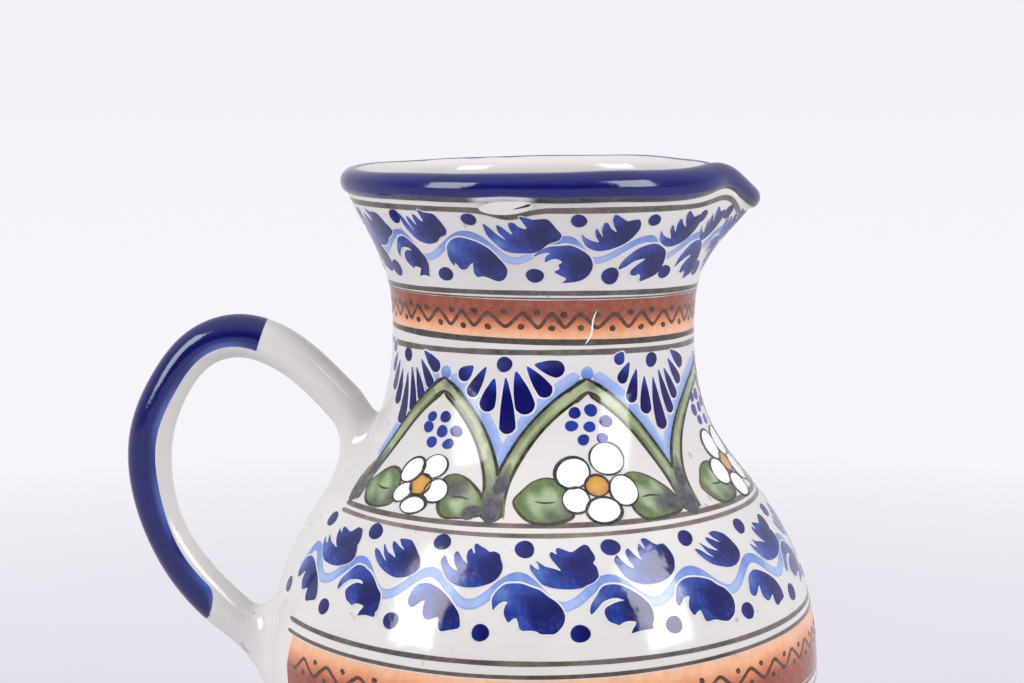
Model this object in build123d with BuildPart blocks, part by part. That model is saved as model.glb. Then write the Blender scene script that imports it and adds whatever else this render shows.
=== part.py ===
from build123d import *

# Talavera water pitcher: a bulbous thrown body, a flared neck with a pulled pouring beak, a rolled lip,
# a turned foot ring, and a round pulled handle that is luted on at the shoulder and at the belly.
#
# Millimetres, +Z up. The origin is the centre of the foot's resting face. The handle lies towards -X and
# the pouring beak towards +X. Each clay piece is shown as it is where it meets the next one.

import os
from math import atan2, cos, degrees, exp, radians, sin

# Walls
wall = 6.0
floor_thickness = 8.0

# Foot ring
foot_height = 7.0
foot_outer_r = 51.0
foot_inner_r = 42.0
foot_edge_r = 1.6
floor_z = foot_height + floor_thickness

# Body, from the foot to the throat: (radius, height)
throat_r = 50.8
throat_z = 197.0
body_outline = [
    (foot_outer_r, foot_height),
    (69.5, 26.0),
    (87.0, 54.0),
    (93.0, 84.0),
    (88.4, 121.0),
    (74.2, 148.0),
    (56.8, 172.0),
    (throat_r, throat_z),
]

# Neck, from the throat to just under the lip: (radius, height)
neck_outline = [
    (throat_r, throat_z),
    (50.5, 206.0),
    (51.2, 217.0),
    (53.9, 227.0),
    (57.9, 236.0),
    (61.9, 243.5),
    (65.4, 250.5),
    (67.4, 254.5),
]
mouth_level = 250.5

# Pouring beak, pulled out of the neck towards +X. On each side of it the wall is pinched in. The mouth's
# edge falls to the tip; it stands a little high on one side of the beak and a little low on the other.
beak_from_z = 224.0
beak_flare = 9.0
beak_half_angle = 13.0
pinch_depth = 1.2
pinch_angle = 29.0
pinch_half_angle = 10.0
beak_droop = 7.0
droop_half_angle = 17.0
high_side_rise = 1.9
high_side_azimuth = -25.0
high_side_half_angle = 12.0
low_side_dip = 0.7
low_side_azimuth = 38.0
low_side_half_angle = 14.0
ring_points = 72

# Rolled lip: a coil along the edge of the mouth, round in section. It is a little thicker on the beak's
# side of the mouth than on the handle's, and thinner over the beak itself.
lip_section_r = 5.0
lip_centre_r = 63.3
lip_centre_z = 254.8
lip_reach = 5.0
lip_thinning = 1.6
thinning_half_angle = 30.0
lip_swell = 0.6
lip_swell_mean = -0.15
lip_half_sections = 24

# Handle: centreline in the XZ plane, from inside the shoulder wall to inside the belly wall
handle_r = 7.1
handle_line = [
    (-50.0, 163.0),
    (-63.0, 174.5),
    (-77.7, 189.5),
    (-91.0, 198.8),
    (-103.0, 201.6),
    (-115.0, 197.8),
    (-126.0, 185.0),
    (-132.3, 169.0),
    (-132.8, 152.0),
    (-128.7, 136.0),
    (-120.5, 121.2),
    (-109.5, 109.0),
    (-88.0, 92.5),
]

# Clay worked out round each end of the handle. Each joint runs from a collar round the handle to an
# oval footprint, whose centre lies under the wall's surface and whose half-axes are given here.
collar = 1.2
upper_reach = 0.155
upper_foot_at = (-59.5, 158.0)
upper_foot_tilt = 34.6
upper_foot_half_axes = (14.0, 20.0)
lower_reach = 0.875
lower_foot_at = (-88.5, 88.0)
lower_foot_tilt = 10.0
lower_foot_half_axes = (15.0, 24.0)


def inward(outline, depth):
    """Points that lie depth inside an outline's curve, along the curve's own normals."""
    curve = Edge.make_spline([Vector(r, 0, z) for r, z in outline])
    points = []
    for i in range(len(outline)):
        t = i / (len(outline) - 1)
        along = curve.tangent_at(t)
        point = curve.position_at(t) + Vector(-along.Z, 0, along.X) * depth
        points.append((point.X, point.Z))
    return points


def bell(angle, half_angle):
    """A smooth bump of height 1 at angle 0 that has faded to 1/e at half_angle."""
    return exp(-((angle / half_angle) ** 2))


def between(azimuth, other):
    """The angle between two azimuths, from 0 to 180 degrees. The beak's azimuth is 0."""
    return abs((azimuth - other + 180) % 360 - 180)


def beak_offset(azimuth, reach):
    """How far the beak moves the wall outwards at an azimuth, for its reach at the tip."""
    angle = between(azimuth, 0)
    pinched = pinch_depth * bell(angle - pinch_angle, pinch_half_angle)
    return reach * bell(angle, beak_half_angle) - pinched


def on_ring(azimuth, r, z):
    """A point at an azimuth, a radius from the axis and a height."""
    return (r * cos(radians(azimuth)), r * sin(radians(azimuth)), z)


def mouth_z(azimuth, level):
    """The height at which the mouth's edge runs, given its level away from the beak."""
    raised = high_side_rise * bell(between(azimuth, high_side_azimuth), high_side_half_angle)
    dipped = low_side_dip * bell(between(azimuth, low_side_azimuth), low_side_half_angle)
    return level + raised - dipped - beak_droop * bell(between(azimuth, 0), droop_half_angle)


def neck_ring(radius, z):
    """The neck's closed outline at one height. The beak grows from nothing towards the mouth."""
    share = max(0.0, (z - beak_from_z) / (mouth_level - beak_from_z))
    points = []
    for i in range(ring_points):
        azimuth = 360 * i / ring_points
        r = radius + beak_offset(azimuth, beak_flare) * share**1.35
        points.append(on_ring(azimuth, r, 0)[:2])
    return points


def thicker(azimuth):
    """How much thicker than usual the lip's section is at an azimuth, and how much higher it sits."""
    return lip_swell_mean + lip_swell * cos(radians(azimuth))


def lip_point(azimuth):
    """A point of the lip's centreline, which follows the beak out and down."""
    r = lip_centre_r + beak_offset(azimuth, lip_reach)
    return on_ring(azimuth, r, mouth_z(azimuth, lip_centre_z) + thicker(azimuth))


def lip_radius(azimuth):
    """The radius of the lip's round section at an azimuth."""
    return lip_section_r + thicker(azimuth) - lip_thinning * bell(between(azimuth, 0), thinning_half_angle)


# The turned foot ring under the body
with BuildPart() as foot_ring:
    with BuildSketch(Plane.XZ):
        with Locations(((foot_inner_r + foot_outer_r) / 2, foot_height / 2)):
            Rectangle(foot_outer_r - foot_inner_r, foot_height)
    revolve(axis=Axis.Z)
    fillet(foot_ring.edges().group_by(Axis.Z)[0], foot_edge_r)

# The outer form of the body, filled, which the handle is fitted to
with BuildPart() as body_form:
    with BuildSketch(Plane.XZ):
        with BuildLine():
            outside = Spline(*body_outline)
            Polyline(outside @ 1, (0, throat_z), (0, foot_height), outside @ 0)
        make_face()
    revolve(axis=Axis.Z)

# The space inside the body, over its floor
with BuildPart() as body_hollow:
    with BuildSketch(Plane.XZ):
        with BuildLine():
            walls_up = [point for point in inward(body_outline, wall) if point[1] > floor_z + wall]
            inside = Spline((throat_r - wall, throat_z), *reversed(walls_up[:-1]))
            corner = (foot_inner_r, floor_z)
            Spline(inside @ 1, corner, tangents=[inside % 1, (-1, 0)])
            Polyline(corner, (0, floor_z), (0, throat_z), inside @ 0)
        make_face()
    revolve(axis=Axis.Z)

# The thrown body, from its floor to the throat
with BuildPart() as body:
    add(body_form.part)
    add(body_hollow.part, mode=Mode.SUBTRACT)

# The rolled lip, lofted in two halves round the mouth
with BuildPart() as lip_bead:
    with BuildLine(mode=Mode.PRIVATE) as lip_line:
        Spline(*[lip_point(360 * i / ring_points) for i in range(ring_points)], periodic=True)
    for half in range(2):
        for i in range(lip_half_sections + 1):
            t = (half + i / lip_half_sections) / 2 % 1
            centre = lip_line.line @ t
            azimuth = degrees(atan2(centre.Y, centre.X))
            with BuildSketch(Plane(centre, x_dir=(0, 0, 1), z_dir=lip_line.line % t)):
                Circle(lip_radius(azimuth))
        loft()

# The thrown neck with its flare and beak, open at both ends, under the lip
with BuildPart() as neck_hollow:
    for radius, z in neck_outline:
        with BuildSketch(Plane.XY.offset(z)):
            with BuildLine():
                Spline(*neck_ring(radius - wall, z), periodic=True)
            make_face()
    loft()
with BuildPart() as neck:
    for radius, z in neck_outline:
        with BuildSketch(Plane.XY.offset(z)):
            with BuildLine():
                Spline(*neck_ring(radius, z), periodic=True)
            make_face()
    loft()
    add(neck_hollow.part, mode=Mode.SUBTRACT)
    with BuildSketch(Plane.XZ):
        with BuildLine():
            beyond = 2 * lip_centre_r
            above = 2 * mouth_level
            rim = []
            for azimuth in range(0, 61, 5):
                middle = (mouth_z(azimuth, mouth_level) + mouth_z(-azimuth, mouth_level)) / 2
                rim.append((lip_point(azimuth)[0], middle))
            edge = Spline(*rim)
            Polyline(edge @ 0, (beyond, rim[0][1]), (beyond, above), (-beyond, above))
            Polyline((-beyond, above), (-beyond, rim[-1][1]), edge @ 1)
        make_face()
    extrude(amount=beyond, both=True, mode=Mode.SUBTRACT)
    add(lip_bead.part, mode=Mode.SUBTRACT)

# The handle, cut to the wall at both ends
with BuildPart() as handle:
    with BuildLine(Plane.XZ) as handle_axis:
        Spline(*handle_line)
    with BuildSketch(Plane(handle_axis.line @ 0, z_dir=handle_axis.line % 0)):
        Circle(handle_r)
    sweep(path=handle_axis.line)
    add(body_form.part, mode=Mode.SUBTRACT)


def handle_collar(t, away):
    """The plane across the handle at a place along its centreline; away is 1 where it leaves the wall."""
    return Plane(handle_axis.line @ t, x_dir=(0, 1, 0), z_dir=(handle_axis.line % t) * away)


def wall_oval(at, tilt):
    """The plane of a joint's footprint: its normal points away from the pitcher, raised by tilt."""
    outwards = (-cos(radians(tilt)), 0, sin(radians(tilt)))
    return Plane((at[0], 0, at[1]), x_dir=(0, 1, 0), z_dir=outwards)


with BuildPart() as handle_upper_joint:
    with BuildSketch(wall_oval(upper_foot_at, upper_foot_tilt)):
        Ellipse(*upper_foot_half_axes)
    with BuildSketch(handle_collar(upper_reach, 1)):
        Circle(handle_r + collar)
    loft()
    add(body_form.part, mode=Mode.SUBTRACT)
    add(handle.part, mode=Mode.SUBTRACT)

with BuildPart() as handle_lower_joint:
    with BuildSketch(wall_oval(lower_foot_at, lower_foot_tilt)):
        Ellipse(*lower_foot_half_axes)
    with BuildSketch(handle_collar(lower_reach, -1)):
        Circle(handle_r + collar)
    loft()
    add(body_form.part, mode=Mode.SUBTRACT)
    add(handle.part, mode=Mode.SUBTRACT)

foot_ring.part.label = "foot_ring"
body.part.label = "body"
neck.part.label = "neck"
lip_bead.part.label = "lip_bead"
handle.part.label = "handle"
handle_upper_joint.part.label = "handle_upper_joint"
handle_lower_joint.part.label = "handle_lower_joint"

os.makedirs("parts", exist_ok=True)
export_step(foot_ring.part, "parts/foot_ring.step")
export_step(body.part, "parts/body.step")
export_step(neck.part, "parts/neck.step")
export_step(lip_bead.part, "parts/lip_bead.step")
export_step(handle.part, "parts/handle.step")
export_step(handle_upper_joint.part, "parts/handle_upper_joint.step")
export_step(handle_lower_joint.part, "parts/handle_lower_joint.step")
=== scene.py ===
import math
import random

import bpy
import numpy as np
from mathutils import Matrix, Vector
from mathutils.geometry import delaunay_2d_cdt


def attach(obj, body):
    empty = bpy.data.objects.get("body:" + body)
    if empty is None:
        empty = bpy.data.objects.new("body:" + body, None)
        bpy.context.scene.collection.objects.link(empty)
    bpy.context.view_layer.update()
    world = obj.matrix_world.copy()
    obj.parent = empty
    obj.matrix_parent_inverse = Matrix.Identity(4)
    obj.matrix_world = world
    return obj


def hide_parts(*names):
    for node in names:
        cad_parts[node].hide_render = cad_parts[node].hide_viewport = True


# A talavera water pitcher: a white-glazed earthenware jug painted by hand in bands. Every mark is a thin
# closed patch of coloured glaze laid on the wall, so the painting is geometry and not an image.
# Lengths are millimetres and angles are degrees. An angle round the jug is counted from the front (-Y)
# towards the beak (+X), so the beak is at 90, the back at 180 and the handle at -90.

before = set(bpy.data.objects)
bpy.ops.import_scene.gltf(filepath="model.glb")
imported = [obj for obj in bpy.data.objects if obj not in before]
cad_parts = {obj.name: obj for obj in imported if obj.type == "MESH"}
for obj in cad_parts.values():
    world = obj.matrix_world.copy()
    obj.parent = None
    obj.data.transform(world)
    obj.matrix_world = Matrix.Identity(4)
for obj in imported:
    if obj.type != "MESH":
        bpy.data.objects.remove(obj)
bpy.context.scene.view_settings.view_transform = "Standard"
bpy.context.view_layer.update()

MM = 0.001
DEGREE = math.radians(1)
# A full turn in radians, near enough for a random phase
TURN = 6.28
BEAK = 90.0
HANDLE = -90.0
hand = random.Random(12)

# ---------------------------------------------------------------- the clay, as in the CAD model

WALL = 6.0
FLOOR_Z = 15.0
FOOT_HEIGHT = 7.0
FOOT_OUTER_R = 51.0
FOOT_INNER_R = 42.0
FOOT_EDGE_R = 1.6
THROAT_Z = 197.0
OUTLINE = [
    (FOOT_OUTER_R, FOOT_HEIGHT),
    (69.5, 26.0),
    (87.0, 54.0),
    (93.0, 84.0),
    (88.4, 121.0),
    (74.2, 148.0),
    (56.8, 172.0),
    (50.8, THROAT_Z),
    (50.5, 206.0),
    (51.2, 217.0),
    (53.9, 227.0),
    (57.9, 236.0),
    (61.9, 243.5),
    (65.4, 250.5),
    (67.4, 254.5),
]
MOUTH_LEVEL = 250.5
BEAK_FROM_Z = 224.0
BEAK_FLARE = 9.0
BEAK_POWER = 1.35
BEAK_HALF_ANGLE = 13.0
PINCH_DEPTH = 1.2
PINCH_ANGLE = 29.0
PINCH_HALF_ANGLE = 10.0
BEAK_DROOP = 7.0
DROOP_HALF_ANGLE = 17.0
SHOULDER_RISE = 1.9
SHOULDER_ANGLE = 65.0
SHOULDER_HALF_ANGLE = 12.0
FAR_DIP = 0.7
FAR_DIP_ANGLE = 128.0
FAR_DIP_HALF_ANGLE = 14.0
LIP_SECTION_R = 5.0
LIP_CENTRE_R = 63.3
LIP_CENTRE_Z = 254.8
LIP_REACH = 5.0
LIP_THINNING = 1.6
THINNING_HALF_ANGLE = 30.0
LIP_SWELL = 0.6
LIP_SWELL_MEAN = -0.15
HANDLE_R = 7.1
HANDLE_LINE = [
    (-50.0, 163.0),
    (-63.0, 174.5),
    (-77.7, 189.5),
    (-91.0, 198.8),
    (-103.0, 201.6),
    (-115.0, 197.8),
    (-126.0, 185.0),
    (-132.3, 169.0),
    (-132.8, 152.0),
    (-128.7, 136.0),
    (-120.5, 121.2),
    (-109.5, 109.0),
    (-88.0, 92.5),
]


def spline(points):
    """A smooth curve through points, as a function of the share of its chord length."""
    pts = np.array(points, float)
    t = np.r_[0, np.cumsum(np.linalg.norm(np.diff(pts, axis=0), axis=1))]
    h = np.diff(t)
    n = len(t)
    system = np.eye(n)
    right = np.zeros_like(pts)
    for i in range(1, n - 1):
        system[i, i - 1 : i + 2] = h[i - 1], 2 * (h[i - 1] + h[i]), h[i]
        right[i] = 6 * ((pts[i + 1] - pts[i]) / h[i] - (pts[i] - pts[i - 1]) / h[i - 1])
    bend = np.linalg.solve(system, right)

    def at(share):
        x = np.clip(np.asarray(share, float), 0, 1) * t[-1]
        i = np.clip(np.searchsorted(t, x, side="right") - 1, 0, n - 2)
        a = ((t[i + 1] - x) / h[i])[..., None]
        b = ((x - t[i]) / h[i])[..., None]
        step = (h[i] ** 2)[..., None] / 6
        return a * pts[i] + b * pts[i + 1] + ((a**3 - a) * bend[i] + (b**3 - b) * bend[i + 1]) * step

    at.length = t[-1]
    return at


OUTER_CURVE = spline(OUTLINE)(np.linspace(0, 1, 6000))


def outer_r(z):
    """The wall's outer radius at a height, away from the beak."""
    return np.interp(z, OUTER_CURVE[:, 1], OUTER_CURVE[:, 0])


def climb(z):
    """How much height is gained for each millimetre up along the wall."""
    slope = (outer_r(z + 1) - outer_r(z - 1)) / 2
    return 1 / np.sqrt(1 + slope**2)


def bell(angle, half_angle):
    """A smooth bump of height 1 at angle 0 that has faded to 1/e at half_angle."""
    return np.exp(-((angle / half_angle) ** 2))


def off_beak(theta):
    """The angle between a place on the jug and the beak."""
    return np.abs((np.asarray(theta, float) - BEAK + 180) % 360 - 180)


def beak_offset(theta, reach):
    """How far the beak moves the wall outwards at an angle, for its reach at the tip."""
    angle = off_beak(theta)
    pinched = PINCH_DEPTH * bell(angle - PINCH_ANGLE, PINCH_HALF_ANGLE)
    return reach * bell(angle, BEAK_HALF_ANGLE) - pinched


def mouth_z(theta, level):
    """The height at which the mouth's edge runs, given its level away from the beak."""
    turned = np.asarray(theta, float) % 360
    raised = SHOULDER_RISE * bell(turned - SHOULDER_ANGLE, SHOULDER_HALF_ANGLE)
    dipped = FAR_DIP * bell(turned - FAR_DIP_ANGLE, FAR_DIP_HALF_ANGLE)
    return level + raised - dipped - BEAK_DROOP * bell(off_beak(theta), DROOP_HALF_ANGLE)


def lip_section(theta):
    """The lip's centre radius, its centre height and its own radius at an angle."""
    centre_r = LIP_CENTRE_R + beak_offset(theta, LIP_REACH)
    swell = LIP_SWELL * np.sin(np.radians(theta)) + LIP_SWELL_MEAN
    section = LIP_SECTION_R + swell - LIP_THINNING * bell(off_beak(theta), THINNING_HALF_ANGLE)
    return centre_r, mouth_z(theta, LIP_CENTRE_Z) + swell, section


# The wall meets the lip at a place that is so many of the lip's own radii under its centre and out from it.
# The room for the wall widens by the spread for each millimetre below that place. Above it the wall has that
# room and a little more, and stays hidden in the lip by the cover. The softness is how gently the wall's own
# curve is bent into its room.
MEET_UNDER = 0.8
MEET_OUT = 0.6
MEET_SPREAD = 1.3
MEET_MORE = 9.0
LIP_COVER = 0.3
SOFTNESS = 0.45


def lip_reach(theta, z):
    """How far out the wall may come so that it runs into the lip's underside."""
    centre_r, centre_z, section = lip_section(theta)
    meet = centre_z - MEET_UNDER * section
    below = centre_r + MEET_OUT * section + MEET_SPREAD * (meet - z)
    inside = centre_r + np.sqrt(np.maximum(section**2 - (z - centre_z) ** 2, 0)) - LIP_COVER
    return np.where(z < meet, below, np.minimum(below + MEET_MORE, inside))


def wall_point(theta, z):
    """A point on the outer wall at an angle and a height, with the beak and with its run into the lip."""
    share = np.clip((z - BEAK_FROM_Z) / (MOUTH_LEVEL - BEAK_FROM_Z), 0, None)
    r = outer_r(z) + beak_offset(theta, BEAK_FLARE) * share**BEAK_POWER
    spare = lip_reach(theta, z) - r
    r = r + spare - SOFTNESS * np.logaddexp(0, spare / SOFTNESS)
    turn = np.radians(theta)
    return np.stack([r * np.sin(turn), -r * np.cos(turn), z + 0 * r], -1)


def unit(v):
    return v / np.linalg.norm(v, axis=-1, keepdims=True)


def rotated(x, y, turn):
    """Lengths across and up, turned by an angle."""
    c, s = math.cos(math.radians(turn)), math.sin(math.radians(turn))
    return c * x - s * y, s * x + c * y


def wall(theta, z, lift=0.0):
    """Points on the outer wall, raised by lift along its normals, and the normals."""
    theta, z = np.broadcast_arrays(np.asarray(theta, float), np.asarray(z, float))
    sideways = wall_point(theta + 0.5, z) - wall_point(theta - 0.5, z)
    upwards = wall_point(theta, z + 0.5) - wall_point(theta, z - 0.5)
    normal = unit(np.cross(sideways, upwards))
    lift = np.asarray(lift, float)[..., None] if np.ndim(lift) else lift
    return wall_point(theta, z) + normal * lift, normal


# ---------------------------------------------------------------- colours and materials


def srgb(r, g, b):
    """A colour on the usual scale of 0 to 255, as linear light."""
    c = np.array([r, g, b]) / 255
    return np.where(c <= 0.04045, c / 12.92, ((c + 0.055) / 1.055) ** 2.4)


WHITE = srgb(217, 215, 212)
CREAM = srgb(213, 210, 206)
COBALT = srgb(14, 18, 90)
DARK_BLUE = srgb(13, 17, 84)
MID_BLUE = srgb(34, 60, 156)
SKY_BLUE = srgb(84, 118, 198)
WASH_BLUE = srgb(122, 152, 212)
PALE_BLUE = srgb(164, 186, 228)
BROWN = srgb(66, 54, 48)
LINE_DARK = srgb(44, 36, 32)
GREY_BROWN = srgb(132, 120, 110)
BLACK = srgb(34, 30, 30)
TERRACOTTA = srgb(140, 64, 36)
ORANGE = srgb(204, 116, 70)
PEACH = srgb(232, 172, 128)
LEAF_GREEN = srgb(82, 108, 62)
SAGE = srgb(160, 176, 136)
LIME = srgb(196, 200, 150)
MINT = srgb(176, 214, 208)
OLIVE = srgb(112, 106, 50)
SLATE = srgb(70, 70, 80)
PETAL = srgb(238, 238, 240)
OCHRE = srgb(206, 152, 62)
AMBER = srgb(172, 112, 44)
CLAY = srgb(176, 116, 84)
IRON = srgb(150, 128, 108)

GLAZE_IOR = 1.52
GLOSS = 0.11


def mix(a, b, share):
    """A colour between two others, or one for each of many shares."""
    share = np.clip(np.asarray(share, float), 0, 1)[..., None]
    return a * (1 - share) + b * share


def smooth(low, high, x):
    """A share that eases from 0 at low to 1 at high."""
    t = np.clip((x - low) / (high - low), 0, 1)
    return t * t * (3 - 2 * t)


def new_material(name):
    material = bpy.data.materials.new(name)
    material.use_nodes = True
    nodes = material.node_tree.nodes
    return material, nodes, material.node_tree.links, nodes["Principled BSDF"]


def noise(nodes, links, scale, detail, roughness=0.5, stretch=(1, 1, 1)):
    """A noise texture in the jug's own metres, with scale in waves per metre."""
    place = nodes.new("ShaderNodeTexCoord")
    sized = nodes.new("ShaderNodeMapping")
    sized.inputs["Scale"].default_value = stretch
    links.new(place.outputs["Object"], sized.inputs["Vector"])
    texture = nodes.new("ShaderNodeTexNoise")
    texture.inputs["Scale"].default_value = scale
    texture.inputs["Detail"].default_value = detail
    texture.inputs["Roughness"].default_value = roughness
    links.new(sized.outputs["Vector"], texture.inputs["Vector"])
    return texture.outputs["Fac"]


def remap(nodes, links, value, low, high, to_low, to_high):
    """A value between low and high, spread over to_low to to_high."""
    node = nodes.new("ShaderNodeMapRange")
    links.new(value, node.inputs["Value"])
    limits = {"From Min": low, "From Max": high, "To Min": to_low, "To Max": to_high}
    for socket, limit in limits.items():
        node.inputs[socket].default_value = limit
    return node.outputs["Result"]


def blend_colour(nodes, links, factor, a, b, kind="MIX"):
    """Two colours blended. Each input is a node's output, a colour or a number."""
    node = nodes.new("ShaderNodeMix")
    node.data_type = "RGBA"
    node.blend_type = kind
    for socket, value in ((node.inputs[0], factor), (node.inputs[6], a), (node.inputs[7], b)):
        if isinstance(value, bpy.types.NodeSocket):
            links.new(value, socket)
        elif np.ndim(value):
            socket.default_value = (*value, 1)
        else:
            socket.default_value = value
    return node.outputs[2]


def bump(nodes, links, height, strength, distance, onto):
    """Relief from a height, added to the relief that drives a normal input, and left driving it."""
    node = nodes.new("ShaderNodeBump")
    node.inputs["Strength"].default_value = strength
    node.inputs["Distance"].default_value = distance
    links.new(height, node.inputs["Height"])
    if onto.is_linked:
        links.new(onto.links[0].from_socket, node.inputs["Normal"])
    links.new(node.outputs["Normal"], onto)


def glassy(nodes, links, shader, grain_scale=420, grain_depth=0.00016):
    """The gloss that all the glaze shares: thin glass over the colour, with a fired, slightly uneven skin."""
    shader.inputs["IOR"].default_value = GLAZE_IOR
    rough = remap(nodes, links, noise(nodes, links, 55, 2), 0.3, 0.7, GLOSS * 0.8, GLOSS * 1.35)
    links.new(rough, shader.inputs["Roughness"])
    bump(nodes, links, noise(nodes, links, 38, 1), 0.45, 0.0011, shader.inputs["Normal"])
    bump(nodes, links, noise(nodes, links, grain_scale, 2), 0.2, grain_depth, shader.inputs["Normal"])


def white_glaze_material():
    """Tin-white glaze: faint warm and cool clouds, a creamier belt on the shoulder, and a few iron specks."""
    material, nodes, links, shader = new_material("white_glaze")
    clouds = remap(nodes, links, noise(nodes, links, 22, 4, 0.6), 0.35, 0.68, 0, 1)
    colour = blend_colour(nodes, links, clouds, srgb(209, 207, 204), srgb(219, 217, 215))
    place = nodes.new("ShaderNodeTexCoord")
    split = nodes.new("ShaderNodeSeparateXYZ")
    links.new(place.outputs["Object"], split.inputs["Vector"])
    belt = nodes.new("ShaderNodeMath")
    belt.operation = "MULTIPLY"
    links.new(remap(nodes, links, split.outputs["Z"], 0.150, 0.153, 0, 0.6), belt.inputs[0])
    links.new(remap(nodes, links, split.outputs["Z"], 0.180, 0.200, 1, 0), belt.inputs[1])
    colour = blend_colour(nodes, links, belt.outputs[0], colour, CREAM)
    specks = remap(nodes, links, noise(nodes, links, 260, 0), 0.80, 0.84, 0, 0.45)
    colour = blend_colour(nodes, links, specks, colour, IRON)
    links.new(colour, shader.inputs["Base Color"])
    glassy(nodes, links, shader)
    return material


def painted_material(name, streak, wash=0.0, *relief):
    """Coloured glaze: the brush's own colour in streaks, with white showing through where it is a wash."""
    material, nodes, links, shader = new_material(name)
    paint = nodes.new("ShaderNodeVertexColor")
    paint.layer_name = "paint"
    pooled = remap(nodes, links, noise(nodes, links, 240, 5, 0.65), 0.3, 0.7, 1 - streak, 1 + streak)
    grey = nodes.new("ShaderNodeCombineColor")
    for socket in ("Red", "Green", "Blue"):
        links.new(pooled, grey.inputs[socket])
    colour = blend_colour(nodes, links, 1.0, paint.outputs["Color"], grey.outputs["Color"], "MULTIPLY")
    if wash:
        thin = remap(nodes, links, noise(nodes, links, 420, 4, 0.7), 0.42, 0.75, 0, wash)
        colour = blend_colour(nodes, links, thin, colour, WHITE)
    links.new(colour, shader.inputs["Base Color"])
    glassy(nodes, links, shader, *relief)
    return material


WHITE_GLAZE = white_glaze_material()
BLUE_PAINT = painted_material("cobalt_paint", 0.14, 0.0, 150, 0.0008)
WASH_PAINT = painted_material("wash_paint", 0.08, 0.18)
LINE_PAINT = painted_material("line_paint", 0.16, 0.10)
ORANGE_PAINT = painted_material("orange_paint", 0.12, 0.10, 260, 0.0005)
GREEN_PAINT = painted_material("green_paint", 0.20, 0.12, 200, 0.0005)
PETAL_PAINT = painted_material("petal_paint", 0.02)

# ---------------------------------------------------------------- making meshes


def mesh_piece(name, points, faces, normals, colours, material, slot, *replaced, turned=True):
    """A smooth piece that rides on the jug, with its own normals and a paint colour at each point.

    Turned says that its faces may still have to be flipped to agree with the normals.
    """
    mesh = bpy.data.meshes.new(name)
    mesh.from_pydata((points * MM).tolist(), [], [tuple(int(i) for i in f) for f in faces])
    mesh.update()
    if turned:
        facing = np.array([f.normal for f in mesh.polygons])
        first = np.array([f.vertices[0] for f in mesh.polygons])
        if (facing * normals[first]).sum() < 0:
            mesh.flip_normals()
    mesh.shade_smooth()
    if colours is not None:
        layer = mesh.color_attributes.new("paint", "FLOAT_COLOR", "POINT")
        rgba = np.ones((len(points), 4), np.float32)
        rgba[:, :3] = colours
        layer.data.foreach_set("color", rgba.ravel())
    if normals is not None:
        mesh.normals_split_custom_set_from_vertices(normals.tolist())
    mesh.materials.append(material)
    piece = bpy.data.objects.new(name, mesh)
    bpy.context.scene.collection.objects.link(piece)
    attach(piece, "root")
    if replaced:
        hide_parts(*replaced)


def loft_rings(rings, closed=False, poles=(None, None)):
    """Faces that join rings of points, each as long as the next, and the points in one list."""
    count = len(rings[0])
    points = np.concatenate(rings)
    faces = []
    last = len(rings) if closed else len(rings) - 1
    for i in range(last):
        j = (i + 1) % len(rings)
        for k in range(count):
            m = (k + 1) % count
            faces.append((i * count + k, i * count + m, j * count + m, j * count + k))
    for end, pole in enumerate(poles):
        if pole is None:
            continue
        tip = len(points)
        points = np.concatenate([points, [pole]])
        start = 0 if end == 0 else (len(rings) - 1) * count
        for k in range(count):
            m = (k + 1) % count
            pair = (start + m, start + k) if end == 0 else (start + k, start + m)
            faces.append((*pair, tip))
    return points, faces


# How deep the closed underside of a patch of paint lies in the surface that it is painted on
SINK = 0.25
# How far apart the points lie that are set inside a filled outline
CELL = 0.9
# How far each layer of paint stands off the glaze, from the first one laid to the last
BAND_LIFT = 0.05
WASH_LIFT = 0.055
LINE_LIFT = 0.06
COBALT_LIFT = 0.07
UNDER_LIFT = 0.08
HALO_LIFT = 0.09
BROAD_LIFT = 0.10
ZIGZAG_LIFT = 0.11
STEM_LIFT = 0.115
MARK_LIFT = 0.12
LEAF_LIFT = 0.13
OUTLINE_LIFT = 0.14
OVER_LIFT = 0.15
PETAL_LIFT = 0.19
EYE_LIFT = 0.235
INK_LIFT = 0.24
BEAD_LIFT = 0.9
# How much higher a stroke stands than the stroke of the same layer that it crosses
PARTED = 0.004


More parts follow.
